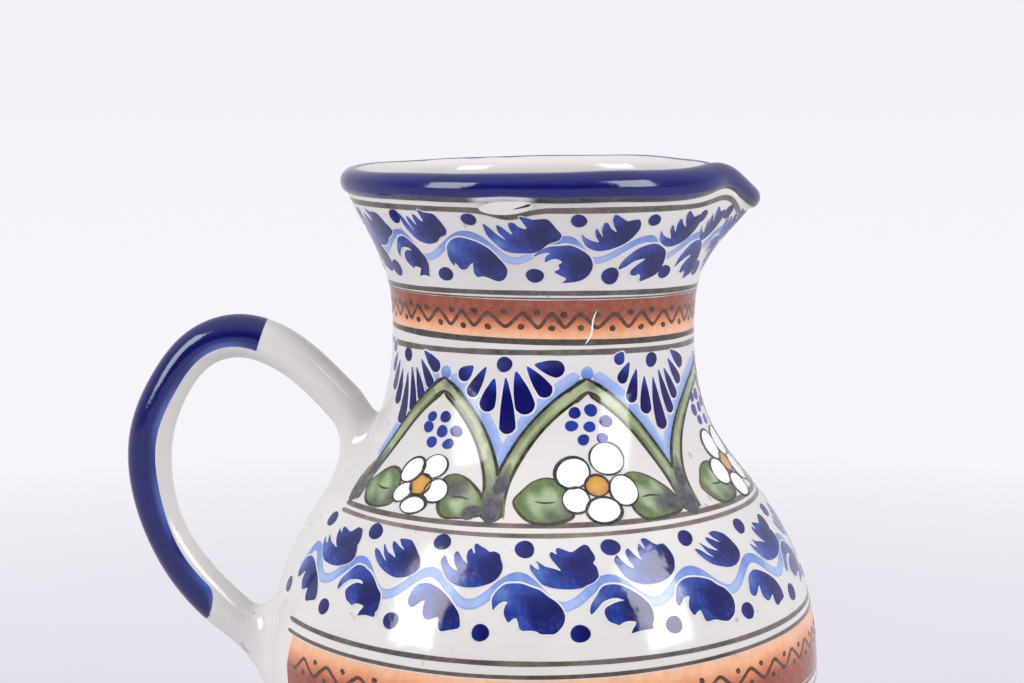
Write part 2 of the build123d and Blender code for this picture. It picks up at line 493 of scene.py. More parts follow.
class Coat:
    """Patches of paint that lie on a surface, each a thin closed solid, gathered into one piece."""

    def __init__(self, surface=wall):
        self.surface = surface
        self.points, self.normals, self.colours, self.faces = [], [], [], []
        self.count = 0

    def keep(self, top, under, normal, tint, *faces):
        """Adds a closed patch: its upper and under points, with their normals and colours, and its faces."""
        self.points += [top, under]
        self.normals += [normal, normal]
        self.colours += [tint, tint]
        self.faces += [part + self.count for part in faces]
        self.count += 2 * len(top)

    def patch(self, a, b, colour, lift, around=False):
        """A grid of places (a, b) on the surface. Around says that its first direction closes on itself."""
        top, normal = self.surface(a, b, lift)
        under, _ = self.surface(a, b, -SINK)
        n, m = top.shape[:2]
        index = np.arange(n * m).reshape(n, m)
        rows = np.vstack([index, index[:1]]) if around else index
        quads = np.stack([rows[:-1, :-1], rows[1:, :-1], rows[1:, 1:], rows[:-1, 1:]], -1).reshape(-1, 4)
        top, under, normal = top.reshape(-1, 3), under.reshape(-1, 3), normal.reshape(-1, 3)
        facing = np.cross(top[quads[:, 2]] - top[quads[:, 0]], top[quads[:, 3]] - top[quads[:, 1]])
        if around:
            border = [(rows[:-1, -1], rows[1:, -1]), (rows[1:, 0], rows[:-1, 0])]
        else:
            loop = np.concatenate([index[0], index[1:, -1], index[-1, -2::-1], index[-2:0:-1, 0]])
            border = [(loop, np.roll(loop, -1))]
        sides = [np.stack([p, q, q + n * m, p + n * m], -1) for p, q in border]
        faces = np.concatenate([quads, quads[:, ::-1] + n * m, *sides])
        if (facing * normal[quads[:, 0]]).sum() < 0:
            faces = faces[:, ::-1]
        self.keep(top, under, normal, np.broadcast_to(colour, (n, m, 3)).reshape(-1, 3), faces)

    def seam(self, rows, colour, lift):
        """A band of paint between two closed lines of places."""
        rows = np.stack(rows, 1)
        self.patch(rows[..., 0], rows[..., 1], colour, lift, around=True)

    def brush(self, path, widths, colour, lift, across=4, step=1.3, shift=0.0):
        """A brush stroke along places (theta, z), as wide as widths say along it, and round at its ends."""
        path = np.array(path, float)
        mean_z = path[:, 1].mean()
        flat = np.radians(path[:, 0]) * outer_r(mean_z), path[:, 1] / climb(mean_z)
        curve = spline(np.stack(flat, -1))
        count = max(6, int(curve.length / step))
        share = np.linspace(0, 1, count)
        wide = np.interp(share, np.linspace(0, 1, len(widths)), widths)
        nib = np.minimum(wide, curve.length) / 2
        for gone in (share, 1 - share):
            left = np.clip(gone * curve.length / np.maximum(nib, 0.1), 0, 1)
            wide = wide * np.maximum(np.sqrt(1 - (1 - left) ** 2), 0.08)
        centre = curve(share)
        ahead = unit(curve(share + 0.01) - curve(share - 0.01))
        side = np.linspace(-1, 1, across + 1)
        z = centre[:, 1] * climb(mean_z)
        theta = np.degrees(centre[:, 0] / outer_r(mean_z))
        off = shift + wide[:, None] / 2 * side
        theta = theta[:, None] + np.degrees(-ahead[:, 1:] * off / outer_r(z)[:, None])
        z = z[:, None] + ahead[:, :1] * off * climb(z)[:, None]
        if callable(colour):
            colour = colour(share[:, None] + 0 * off, side[None] + 0 * off)
        self.patch(theta, z, colour, lift)

    def blob(self, theta, z, half_wide, half_tall, colour, lift, turn=0.0, bumps=0.0, cells=6):
        """A dab of paint: an oval, turned, with a slightly bumpy edge."""
        x, y = np.meshgrid(np.linspace(-1, 1, cells + 1), np.linspace(-1, 1, cells + 1), indexing="ij")
        u = x * np.sqrt(1 - y**2 / 2)
        v = y * np.sqrt(1 - x**2 / 2)
        angle = np.arctan2(v, u)
        phase = hand.uniform(0, TURN)
        edge = 1 + bumps * (np.sin(2 * angle + phase) + 0.6 * np.sin(3 * angle - 2 * phase))
        a, b = rotated(u * edge * half_wide, v * edge * half_tall, turn)
        if callable(colour):
            colour = colour(x, y)
        self.patch(theta + np.degrees(a / outer_r(z)), z + b * climb(z), colour, lift)

    def fill(self, edge, colour, lift, place):
        """A filled outline. Place turns points drawn in millimetres into places on the surface."""
        low, high = edge.min(0), edge.max(0)
        across, up = [np.arange(low[k] + 0.4, high[k], CELL) for k in (0, 1)]
        inside = np.stack(np.meshgrid(across, up), -1).reshape(-1, 2)
        gap = np.linalg.norm(inside[:, None] - edge[None], axis=-1).min(1)
        inside = inside[gap > CELL / 2]
        x, y = inside.T
        ahead = np.roll(edge, -1, 0)
        crossing = (edge[:, 1, None] > y) != (ahead[:, 1, None] > y)
        rise = np.where(np.abs(ahead - edge)[:, 1] > 1e-9, (ahead - edge)[:, 1], 1.0)
        reach = edge[:, 0, None] + (y - edge[:, 1, None]) * ((ahead - edge)[:, 0] / rise)[:, None]
        inside = inside[(crossing & (x < reach)).sum(0) % 2 == 1]
        given = [Vector(p) for p in np.concatenate([edge, inside]).tolist()]
        loop = [list(range(len(edge)))]
        points, _, faces, *_ = delaunay_2d_cdt(given, [], loop, 1, 1e-5)
        flat = np.array([tuple(p) for p in points])
        faces = np.array(faces)
        a, b = place(flat).T
        top, normal = self.surface(a, b, lift)
        under, _ = self.surface(a, b, -SINK)
        facing = np.cross(top[faces[:, 1]] - top[faces[:, 0]], top[faces[:, 2]] - top[faces[:, 0]])
        if (facing * normal[faces[:, 0]]).sum() < 0:
            faces = faces[:, ::-1]
        sides = np.concatenate([faces[:, [0, 1]], faces[:, [1, 2]], faces[:, [2, 0]]])
        pairs = {(int(p), int(q)) for p, q in sides}
        border = np.array([pair for pair in pairs if pair[::-1] not in pairs])
        n = len(flat)
        walls = np.stack([border[:, 1], border[:, 0], border[:, 0] + n, border[:, 1] + n], -1)
        tint = colour(*flat.T) if callable(colour) else np.broadcast_to(colour, (n, 3))
        self.keep(top, under, normal, tint, faces, faces[:, ::-1] + n, walls)

    def ring(self, z, width, colour, lift, start=0.0, end=360.0, count=240, rows=2):
        """A line drawn on the turning jug. z and width are functions of the angle."""
        whole = end - start >= 360
        theta = np.linspace(start, end, count, endpoint=not whole)[:, None]
        across = np.linspace(-1, 1, rows + 1)[None]
        wide = width(theta)
        if not whole:
            ends = np.minimum(theta - start, end - theta) * outer_r(z(0)) * DEGREE
            wide = wide * (0.25 + 0.75 * np.clip(ends / 1.2, 0, 1))
        heights = z(theta) + across * wide / 2
        shade = colour(theta + 0 * across, across + 0 * theta) if callable(colour) else colour
        self.patch(theta + 0 * across, heights, shade, lift, around=whole)

    def piece(self, name, material, slot):
        """Makes the patches into one piece."""
        faces = [face for part in self.faces for face in part]
        points, normals, colours = map(np.concatenate, (self.points, self.normals, self.colours))
        mesh_piece(name, points, faces, normals, colours, material, slot, turned=False)


def waver(seed, low=2, high=9):
    """A smooth hand-made unevenness round the jug, from about -1 to 1."""
    draw = random.Random(seed)
    terms = [(k, draw.uniform(0, TURN), draw.uniform(0.4, 1) / math.sqrt(k)) for k in range(low, high)]
    size = sum(t[2] for t in terms) * 0.6

    def at(theta):
        turn = np.radians(theta)
        return sum(w * np.sin(k * turn + p) for k, p, w in terms) / size

    return at


# ---------------------------------------------------------------- the clay pieces

AROUND = 192
RING = np.arange(AROUND) * 360 / AROUND
RADIAL = np.stack([np.sin(np.radians(RING)), -np.cos(np.radians(RING)), 0 * RING], -1)


def make_body():
    """The thrown body: its outside, its inside over the floor, and its recessed underside."""
    rings, normals = [], []

    def flat_ring(r, z, normal):
        rings.append(RADIAL * r + np.array([0, 0, z]))
        normals.append(np.tile(normal, (AROUND, 1)))

    for r in (14.0, 28.0, FOOT_INNER_R):
        flat_ring(r, FOOT_HEIGHT, (0, 0, -1))
    heights = np.linspace(FOOT_HEIGHT, THROAT_Z, 110)
    for z in heights:
        p, n = wall(RING, z)
        rings.append(p)
        normals.append(n)
    for z in heights[::-2]:
        p, n = wall(RING, z, -WALL)
        if p[0, 2] > FLOOR_Z + WALL:
            rings.append(p)
            normals.append(-n)
    flat_ring(52.0, FLOOR_Z + 3.2, (0, 0, 1))
    for r in (FOOT_INNER_R, 28.0, 14.0):
        flat_ring(r, FLOOR_Z, (0, 0, 1))
    points, faces = loft_rings(rings, poles=((0, 0, FOOT_HEIGHT), (0, 0, FLOOR_Z)))
    shading = np.concatenate([*normals, [(0, 0, -1)], [(0, 0, 1)]])
    mesh_piece("body_wall", points, faces, shading, None, WHITE_GLAZE, "white_glaze", "body")


def make_neck():
    """The flared neck with its pulled beak. Its top edge follows the lip's underside."""
    rings, normals = [], []
    rise = mouth_z(RING, MOUTH_LEVEL + 2.0) - THROAT_Z
    shares = np.linspace(0, 1, 44)
    for depth, facing, order in ((0, 1, shares), (WALL, -1, shares[::-1])):
        for share in order:
            p, n = wall(RING, THROAT_Z + rise * share, -depth)
            rings.append(p)
            normals.append(n * facing)
    points, faces = loft_rings(rings, closed=True)
    shading = np.concatenate(normals)
    mesh_piece("neck_wall", points, faces, shading, None, WHITE_GLAZE, "white_glaze", "neck")


def lip_centre(theta):
    """Points on the lip's centreline."""
    r, z, _ = lip_section(theta)
    turn = np.radians(theta)
    return np.stack([r * np.sin(turn), -r * np.cos(turn), z], -1)


def lip_surface(theta, angle, lift=0.0):
    """Points on the rolled lip. The angle goes round its section from outside (0) over its crown (90)."""
    theta, angle = np.broadcast_arrays(np.asarray(theta, float), np.radians(angle))
    uneven = np.stack([0 * theta, 0 * theta, 0.22 * waver(3, 3, 14)(theta)], -1)
    ahead = unit(lip_centre(theta + 0.5) - lip_centre(theta - 0.5))
    out = unit(np.cross(ahead, np.array([0, 0, 1.0])))
    top = np.cross(out, ahead)
    normal = out * np.cos(angle)[..., None] + top * np.sin(angle)[..., None]
    section = lip_section(theta)[2] + 0.12 * waver(4, 3, 12)(theta) + lift
    return lip_centre(theta) + uneven + normal * section[..., None], normal


def make_lip():
    """The rolled lip: white clay under a coat of dark cobalt that stops just inside the crown."""
    theta = np.arange(300) * 1.2
    rings, normals = [], []
    for angle in range(0, 360, 15):
        p, n = lip_surface(theta, angle)
        rings.append(p)
        normals.append(n)
    points, faces = loft_rings(rings, closed=True)
    shading = np.concatenate(normals)
    mesh_piece("lip_bead_rolled", points, faces, shading, None, WHITE_GLAZE, "white_glaze", "lip_bead")
    coat = Coat(lip_surface)
    edge, tone = waver(5, 5, 40), waver(6, 4, 20)
    theta = (np.arange(360) * 1.0)[:, None]
    inner = 106 + 7 * edge(theta)
    outer = -35 + 4 * waver(7, 4, 30)(theta) + 8 * bell(theta - 349, 6)
    share = np.linspace(0, 1, 17)[None]
    angle = outer + (inner - outer) * share
    colour = mix(COBALT, srgb(20, 27, 116), 0.2 + 0.4 * tone(theta) + 0 * share)
    thin = 0.35 * smooth(0.06, 0.0, share) + 0.5 * smooth(0.95, 1.0, share)
    colour = mix(colour, SKY_BLUE, thin + 0 * theta)
    coat.patch(theta + 0 * share, angle, colour, COBALT_LIFT, around=True)
    coat.piece("lip_cobalt", BLUE_PAINT, "blue_glaze")
    line = Coat(lip_surface)
    lower = -61 + 3 * waver(9, 4, 40)(theta)
    angle = lower + (outer + 1 - lower) * np.linspace(0, 1, 5)[None]
    gone = smooth(338, 342, theta) * smooth(358, 354, theta)
    tone = mix(LINE_DARK, GREY_BROWN, 0.1 + 0.4 * waver(11, 3, 40)(theta) + 0 * angle)
    tone = mix(tone, WHITE, 0.9 * gone + 0 * angle)
    line.patch(theta + 0 * angle, angle, tone, BAND_LIFT, around=True)
    line.piece("lip_brown_line", LINE_PAINT, "line_glaze")


def make_foot():
    """The turned foot ring: glazed down its sides and left as bare clay where it stands."""
    section = [(FOOT_OUTER_R, FOOT_HEIGHT, 0), (FOOT_OUTER_R, 4.5, 0), (FOOT_OUTER_R, FOOT_EDGE_R, 0)]
    for k in range(1, 7):
        angle = math.radians(15 * k)
        r = FOOT_OUTER_R - FOOT_EDGE_R + FOOT_EDGE_R * math.cos(angle)
        section.append((r, FOOT_EDGE_R - FOOT_EDGE_R * math.sin(angle), 15 * k))
    for k in range(0, 7):
        angle = math.radians(90 - 15 * k)
        r = FOOT_INNER_R + FOOT_EDGE_R - FOOT_EDGE_R * math.cos(angle)
        section.append((r, FOOT_EDGE_R - FOOT_EDGE_R * math.sin(angle), 90 + 15 * k))
    section += [(FOOT_INNER_R, 4.5, 180), (FOOT_INNER_R, FOOT_HEIGHT, 180)]
    rings, normals, colours = [], [], []
    for r, z, tip in section:
        tip = math.radians(tip)
        rings.append(RADIAL * r + np.array([0, 0, z]))
        normals.append(RADIAL * math.cos(tip) - np.array([0, 0, math.sin(tip)]))
        bare = smooth(0.9, 0.35, z + 0.25 * waver(8)(RING))
        colours.append(mix(mix(COBALT, MID_BLUE, 0.25), CLAY, bare))
    points, faces = loft_rings(rings[::-1], closed=True)
    shading, paint = np.concatenate(normals[::-1]), np.concatenate(colours[::-1])
    mesh_piece("foot_ring_turned", points, faces, shading, paint, BLUE_PAINT, "blue_glaze", "foot_ring")


HANDLE_CURVE = spline(HANDLE_LINE)
# An end of the handle: where it starts to widen, as a share of the handle's length, its foot's height on the
# wall, how far the foot reaches on the outer and on the inner side of the loop, its half width, and 1 where
# the share grows towards the wall or -1 where it grows away from it
UPPER_END = (0.115, 163.0, 17.0, 24.0, 15.0, -1)
LOWER_END = (0.905, 92.0, 27.0, 24.0, 15.5, 1)


def handle_frame(share):
    """The handle's centre, its direction and the direction away from the fingers, along its length."""
    c = HANDLE_CURVE(share)
    t = unit(HANDLE_CURVE(share + 0.004) - HANDLE_CURVE(share - 0.004))
    zero = 0 * c[..., 0]
    centre = np.stack([c[..., 0], zero, c[..., 1]], -1)
    ahead = np.stack([t[..., 0], zero, t[..., 1]], -1)
    away = np.stack([t[..., 1], zero, -t[..., 0]], -1)
    return centre, ahead, away


def handle_surface(share, angle, lift=0.0):
    """Points on the handle at a share of its length and an angle round it from its outer side."""
    share, angle = np.broadcast_arrays(np.asarray(share, float), np.radians(angle))
    centre, _, away = handle_frame(share)
    normal = away * np.cos(angle)[..., None] + np.array([0, 1.0, 0]) * np.sin(angle)[..., None]
    radius = HANDLE_R + 0.25 * np.sin(share * 23 + 1)
    return centre + normal * (radius[..., None] + lift), normal


def handle_flare(angles, share, foot_z, reach_away, reach_in, half_wide, towards):
    """Rows of points that carry the handle's end out onto the wall, touching it without a crease."""
    ring, _ = handle_surface(share, angles)
    _, ahead, _ = handle_frame(share)
    leaving = ahead * towards
    turn = np.radians(angles)
    vertical = np.cos(turn) * -towards
    tall = np.where(np.cos(turn) > 0, reach_away, reach_in)
    b = vertical * tall
    a = np.sin(turn) * half_wide
    theta = HANDLE - np.degrees(a / outer_r(foot_z))
    z = foot_z + b * climb(foot_z)
    foot, normal = wall(theta, z, -0.12)
    middle, _ = wall(HANDLE, foot_z)
    away = foot - middle
    away = unit(away - normal * (away * normal).sum(-1, keepdims=True))
    rows = []
    for h in np.linspace(1, 0, 13)[:-1]:
        a0, a1 = 2 * h**3 - 3 * h**2 + 1, h**3 - 2 * h**2 + h
        b0, b1 = -2 * h**3 + 3 * h**2, h**3 - h**2
        reach = np.linalg.norm(foot - ring, axis=-1, keepdims=True)
        rows.append(a0 * ring + a1 * leaving * reach * 1.1 + b0 * foot + b1 * away * reach * 1.25)
    return rows


def make_handle():
    """The pulled handle, with both its ends worked out onto the wall."""
    angles = np.arange(40) * 9.0
    rows = handle_flare(angles, *UPPER_END)
    for share in np.linspace(UPPER_END[0], LOWER_END[0], 90):
        rows.append(handle_surface(share, angles)[0])
    rows += handle_flare(angles, *LOWER_END)[::-1]
    inside = [wall(HANDLE, end[1], -WALL / 2)[0] for end in (UPPER_END, LOWER_END)]
    points, faces = loft_rings([row[::-1] for row in rows], poles=inside)
    replaced = ("handle", "handle_upper_joint", "handle_lower_joint")
    args = (points, faces, None, None, WHITE_GLAZE, "white_glaze")
    mesh_piece("handle_glaze", *args, *replaced, turned=False)


def nearest_share(x, z):
    """The share of the handle's length that comes nearest to a place."""
    shares = np.linspace(0, 1, 400)
    return shares[np.argmin(np.linalg.norm(HANDLE_CURVE(shares) - np.array([x, z]), axis=1))]


def make_handle_stripe():
    """The blue stripe down the handle's outer side, cut square at the top and round at the bottom."""
    start, end = nearest_share(-95.0, 200.0), nearest_share(-111.5, 107.0)
    half_angle, round_end, lift = 114, 9.0, 0.08
    share = np.linspace(start, end, 110)[:, None]
    left = (end - share) * HANDLE_CURVE.length
    half = half_angle * np.sqrt(1 - (1 - np.clip(left / round_end, 0.0004, 1)) ** 2)
    half = half + 2.5 * np.sin(share * 31) * np.clip(left / round_end, 0, 1)
    across = np.linspace(-1, 1, 25)[None]
    edge = smooth(0.80, 1.0, np.abs(across)) * (0.6 + 0.4 * np.sin(share * 40))
    edge = np.maximum(edge, smooth(2.2, 0.0, left) * 0.6)
    colour = mix(COBALT, SKY_BLUE, edge * 0.75 + 0 * share)
    coat = Coat(handle_surface)
    coat.patch(share + 0 * across, half * across, colour, lift)
    coat.piece("handle_stripe", BLUE_PAINT, "blue_glaze")


make_body()
make_neck()
make_lip()
make_foot()
make_handle()
make_handle_stripe()

# ---------------------------------------------------------------- lines and bands


def level(front, left, right):
    """A height round the jug that passes through three heights and dips or climbs smoothly between them."""
    middle = (left + right) / 2

    def at(theta):
        s = np.sin(np.radians(theta))
        return front + (right - left) / 2 * s + (middle - front) * s**2

    return at


def steady(width, seed, share=0.18):
    """A line's width, a little uneven round the jug."""
    uneven = waver(seed, 3, 24)
    return lambda theta: width * (1 + share * uneven(theta))


def slanted(width, path, theta, z):
    """How tall a line has to be where it runs at a slant, so that the brush that drew it stays as broad."""
    steep = (path(theta + 0.5) - path(theta - 0.5)) / (outer_r(z) * DEGREE)
    return width * np.sqrt(1 + steep**2)


def brushed(dark, pale, seed, low=0.0, high=1.0):
    """A line's colour as it dries and is reloaded round the jug."""
    first, second = waver(seed, 2, 30), waver(seed + 1, 20, 60)

    def at(theta, side):
        dry = 0.5 + 0.42 * first(theta) + 0.3 * second(theta) + 0.15 * side * side
        return mix(dark, pale, low + (high - low) * np.clip(dry, 0, 1))

    return at


def make_lines():
    """The brown lines that the painter drew with the jug turning on a wheel."""
    coat = Coat()
    turned = lambda theta: np.asarray(theta, float) % 360
    under_lip = lambda theta: (
        mouth_z(theta, 248.0) + 0.8 * bell(turned(theta) - 68, 9.0) - 2.1 * bell(turned(theta) - 349.5, 6.0)
    )
    tone = brushed(LINE_DARK, GREY_BROWN, 32, 0.0, 0.7)
    coat.ring(under_lip, steady(1.8, 22), tone, LINE_LIFT, count=360)
    for z, width, seed, palest, start, end in (
        (level(221.5, 220.8, 220.0), 1.6, 23, 0.5, 0, 360),
        (level(219.75, 219.5, 218.7), 0.55, 24, 0.8, 0, 360),
        (level(205.9, 206.8, 204.8), 1.9, 25, 0.15, 0, 360),
        (level(202.6, 201.5, 201.5), 1.8, 26, 0.7, 0, 360),
        (level(151.7, 151.3, 152.5), 1.4, 27, 0.8, -63.5, 240.5),
        (level(149.0, 149.3, 150.4), 1.2, 28, 1.2, -63.5, 240.5),
        (level(113.5, 114.3, 116.2), 1.5, 29, 0.7, -66, 246),
        (level(109.6, 110.6, 113.3), 1.2, 30, 0.6, -66, 246),
        (level(91.0, 91.6, 92.4), 1.2, 33, 1.0, -63, 243),
        (level(87.6, 88.0, 88.8), 1.0, 34, 1.1, -63, 243),
        (level(31.0, 31.0, 31.0), 1.2, 35, 1.0, 0, 360),
        (level(27.6, 27.6, 27.6), 1.0, 36, 1.1, 0, 360),
    ):
        tone = brushed(LINE_DARK, GREY_BROWN, seed + 60, 0.0, palest)
        coat.ring(z, steady(width, seed), tone, LINE_LIFT, start, end)
    coat.piece("brown_lines", LINE_PAINT, "line_glaze")


def make_orange_band(name, top, bottom, start, end, seed, darkest):
    """A band of orange laid wet: its iron red has run to one edge, and it is palest along the other.

    Darkest is 1 where the red has run to its top edge and -1 where it has run to its bottom edge.
    """
    coat = Coat()
    blotch = waver(seed, 3, 40)

    def colour(theta, side):
        high = (side * darkest + 1) / 2 + 0.14 * blotch(theta)
        shade = mix(PEACH, ORANGE, smooth(0.10, 0.42, high))
        shade = mix(shade, TERRACOTTA, smooth(0.36, 0.62, high))
        return mix(shade, WHITE, 0.22 * smooth(0.2, -0.1, high))

    middle = lambda theta: (top(theta) + bottom(theta)) / 2
    height = lambda theta: top(theta) - bottom(theta) + 0.25 * waver(seed + 1, 5, 30)(theta)
    coat.ring(middle, height, colour, BAND_LIFT, start, end, 288, 12)
    coat.piece(name, ORANGE_PAINT, "orange_glaze")


def make_zigzag(name, middle, repeats, tall, start, end, dot):
    """A wavy line with a dot in each of its hollows."""
    coat = Coat()
    pitch = 360 / repeats
    drift = waver(repeats, 2, 14)

    def wave(theta):
        phase = (theta + 2.2 * drift(theta)) / pitch * 2 * math.pi
        return middle(theta) + tall / 2 * (np.sin(phase) - 0.06 * np.sin(3 * phase)) + 0.25 * drift(theta * 2)

    width = lambda theta: slanted(1.15, wave, theta, middle(theta))
    ink = brushed(BLACK, BROWN, repeats + 9, 0.0, 0.7)
    inked = lambda theta, side: mix(ink(theta, side), TERRACOTTA, 0.3 * smooth(0.5, 0.0, np.abs(side)))
    coat.ring(wave, width, inked, ZIGZAG_LIFT, start, end, repeats * 14, 4)
    for k in range(repeats * 2):
        theta = (k + 0.5) * pitch / 2
        theta = theta - 2.2 * float(drift(theta))
        if end - start < 360 and not start + 3 < (theta - start) % 360 + start < end - 3:
            continue
        up = 1 if k % 2 else -1
        z = float(middle(theta)) + up * (tall / 2 + 0.3) + hand.uniform(-0.3, 0.3)
        eye = lambda x, y: mix(BROWN, BLACK, smooth(0.2, 0.8, np.hypot(x, y)))
        turn = hand.uniform(-40, 10)
        coat.blob(theta + hand.uniform(-0.8, 0.8), z, dot * 1.2, dot, eye, ZIGZAG_LIFT, turn, 0.06)
    coat.piece(name, LINE_PAINT, "line_glaze")


# ---------------------------------------------------------------- the vines of blue leaves

TIP_BLUE = srgb(52, 80, 172)
EDGE_BLUE = srgb(92, 126, 198)

# Leaf outlines in millimetres, across and up from the leaf's middle, each drawn from its lowest finger's tip
UPPER_WIDE = [
    (-12.5, 5.0), (-11.9, 1.0), (-10.1, -2.0), (-7.8, -4.4), (-4.7, -5.7), (-0.9, -6.1), (2.2, -5.9),
    (4.5, -5.0), (7.2, -2.9), (10.3, -1.7), (11.3, 0.1), (9.7, 2.7), (7.2, 5.9), (4.7, 6.4), (2.6, 6.4),
    (0.9, 7.0), (-1.1, 7.5), (-0.4, 5.5), (0.6, 3.0), (-1.3, 3.7), (-3.0, 5.2), (-4.7, 5.2), (-4.5, 3.2),
    (-3.7, 1.2), (-5.2, 2.0), (-6.7, 3.7), (-8.2, 4.5), (-8.0, 2.0), (-6.3, -1.0), (-8.6, 1.0),
    (-10.6, 3.5),
]
UPPER_CURLED = [
    (-9.4, -0.3), (-8.7, -2.9), (-7.0, -4.8), (-4.1, -5.9), (-1.2, -6.0), (2.2, -5.1), (5.6, -3.4),
    (8.0, -1.0), (9.3, 1.8), (9.3, 3.9), (8.2, 5.4), (6.0, 5.2), (4.1, 4.9), (2.2, 6.0), (0.0, 7.0),
    (-0.6, 5.5), (0.1, 3.4), (1.7, 1.0), (-0.2, 2.1), (-1.7, 3.6), (-2.6, 4.2), (-3.3, 2.9), (-3.2, 1.0),
    (-2.6, -0.8), (-3.9, 0.8), (-5.2, 1.9), (-5.5, 0.8), (-4.8, -1.0), (-3.4, -3.0), (-5.6, -2.6),
    (-7.7, -1.6),
]
LOWER_MITTEN = [
    (-8.5, -2.8), (-9.6, -1.2), (-10.0, 1.2), (-9.2, 4.2), (-7.0, 6.5), (-4.2, 7.5), (-0.9, 7.0),
    (1.9, 6.0), (4.7, 3.7), (7.5, 0.7), (9.4, -2.2), (9.8, -4.7), (8.5, -7.0), (6.1, -7.5), (3.3, -6.7),
    (1.4, -6.2), (-0.5, -6.5), (-1.6, -5.2), (-1.6, -3.2), (-1.4, -1.5), (-3.1, -2.7), (-4.2, -3.7),
    (-5.9, -4.1), (-7.0, -3.0), (-8.0, -1.7),
]
LOWER_RAGGED = [
    (-11.3, 2.3), (-9.1, 4.6), (-6.4, 5.8), (-3.2, 6.5), (0.0, 6.4), (3.2, 5.2), (5.9, 3.0), (7.5, 0.6),
    (7.5, -1.7), (6.6, -4.0), (4.5, -5.6), (1.8, -6.4), (-1.5, -6.5), (-0.5, -5.2), (-1.8, -4.3),
    (-4.3, -3.0), (-3.0, -1.8), (-3.4, -0.4), (-2.3, 0.8), (-4.1, 1.8), (-5.9, 1.5), (-7.6, 0.3),
    (-7.4, 2.3), (-6.1, 3.8), (-8.6, 3.5),
]
LOWER_HOOK = [
    (-10.0, -1.6), (-8.9, 1.3), (-6.7, 3.9), (-3.3, 5.9), (1.1, 6.8), (4.4, 5.7), (6.9, 3.4), (7.8, 0.3),
    (7.1, -2.6), (5.0, -4.7), (2.2, -5.7), (-0.7, -6.3), (-1.2, -4.9), (-1.7, -3.8), (-3.3, -4.2),
    (-5.0, -3.9), (-5.3, -2.3), (-3.6, -0.5), (-0.6, 1.6), (-4.4, 1.0), (-7.2, -0.5),
]
UPPER_OPEN = [
    (-11.7, 2.7), (-12.5, 1.1), (-12.0, -0.6), (-10.8, -2.9), (-9.1, -4.7), (-6.8, -6.0), (-4.4, -6.7),
    (-2.0, -6.8), (0.7, -6.5), (3.4, -5.5), (5.1, -4.4), (6.8, -2.7), (7.5, -0.6), (7.6, 1.3), (6.9, 3.2),
    (6.1, 4.8), (5.1, 5.6), (3.9, 5.6), (2.9, 5.4), (1.4, 6.3), (-0.3, 7.3), (-1.7, 7.7), (-2.4, 7.3),
    (-2.2, 6.0), (-1.7, 4.5), (-2.5, 5.0), (-3.4, 5.9), (-4.2, 5.0), (-4.4, 3.5), (-4.1, 2.3),
    (-3.7, 1.0), (-5.4, 2.3), (-6.8, 3.9), (-7.8, 4.7), (-8.5, 3.8), (-8.4, 2.3), (-7.6, 0.6),
    (-6.5, -1.6), (-8.4, -0.6), (-10.1, 1.0),
]
UPPER_HEAVY = [
    (-11.5, 0.8), (-11.0, -1.3), (-9.4, -3.9), (-7.7, -5.6), (-5.5, -6.6), (-2.6, -7.2), (0.6, -7.4),
    (3.9, -6.9), (6.1, -6.1), (7.9, -5.0), (9.2, -3.5), (9.4, -1.9), (8.9, 0.0), (8.1, 1.1), (8.7, 2.3),
    (8.5, 3.9), (7.9, 5.2), (7.1, 6.6), (5.8, 7.1), (4.5, 6.8), (3.2, 5.8), (1.6, 4.9), (0.0, 5.2),
    (-2.9, 6.1), (-3.5, 5.3), (-3.1, 4.2), (-3.7, 4.1), (-4.9, 5.0), (-5.4, 4.2), (-4.8, 2.6),
    (-3.5, 0.6), (-1.9, -1.3), (-3.9, -0.6), (-6.5, 0.2), (-7.7, 0.8), (-9.4, 1.8), (-9.0, 0.6),
    (-8.5, -0.8), (-9.7, -0.6),
]
UPPER_FEATHER = [
    (-10.5, 2.2), (-10.0, 0.3), (-8.0, -2.2), (-5.5, -4.1), (-2.5, -5.4), (0.7, -6.2), (3.6, -5.9),
    (6.2, -4.8), (8.0, -2.8), (8.2, -1.1), (7.5, 0.8), (6.2, 3.0), (4.4, 5.0), (2.5, 6.2), (0.4, 6.6),
    (-1.8, 6.3), (-1.9, 5.6), (-0.7, 4.4), (1.0, 2.8), (-0.7, 3.6), (-2.5, 4.7), (-4.1, 5.2), (-4.5, 4.5),
    (-3.8, 3.0), (-2.5, 1.4), (-1.3, 0.0), (-2.9, 0.6), (-5.1, 1.9), (-7.5, 3.7), (-7.5, 2.8),
    (-6.2, 0.3), (-4.2, -1.7), (-6.2, -0.6), (-8.7, 1.4),
]
LOWER_FIST = [
    (-10.8, -0.5), (-11.4, 1.0), (-11.2, 3.2), (-9.7, 5.5), (-7.6, 7.1), (-5.4, 7.6), (-2.5, 7.4),
    (0.8, 6.6), (3.4, 5.5), (5.8, 3.9), (8.4, 2.1), (10.2, 0.2), (11.0, -1.9), (10.5, -4.2), (9.4, -6.1),
    (7.7, -7.4), (6.1, -7.6), (3.9, -7.3), (2.4, -6.6), (0.5, -6.3), (-1.5, -6.5), (-2.5, -5.8),
    (-3.1, -3.9), (-3.7, -2.7), (-4.5, -3.1), (-5.8, -4.0), (-6.8, -3.2), (-7.4, -1.3), (-7.1, 0.6),
    (-6.4, 2.2), (-8.4, 1.6), (-9.9, 0.2),
]
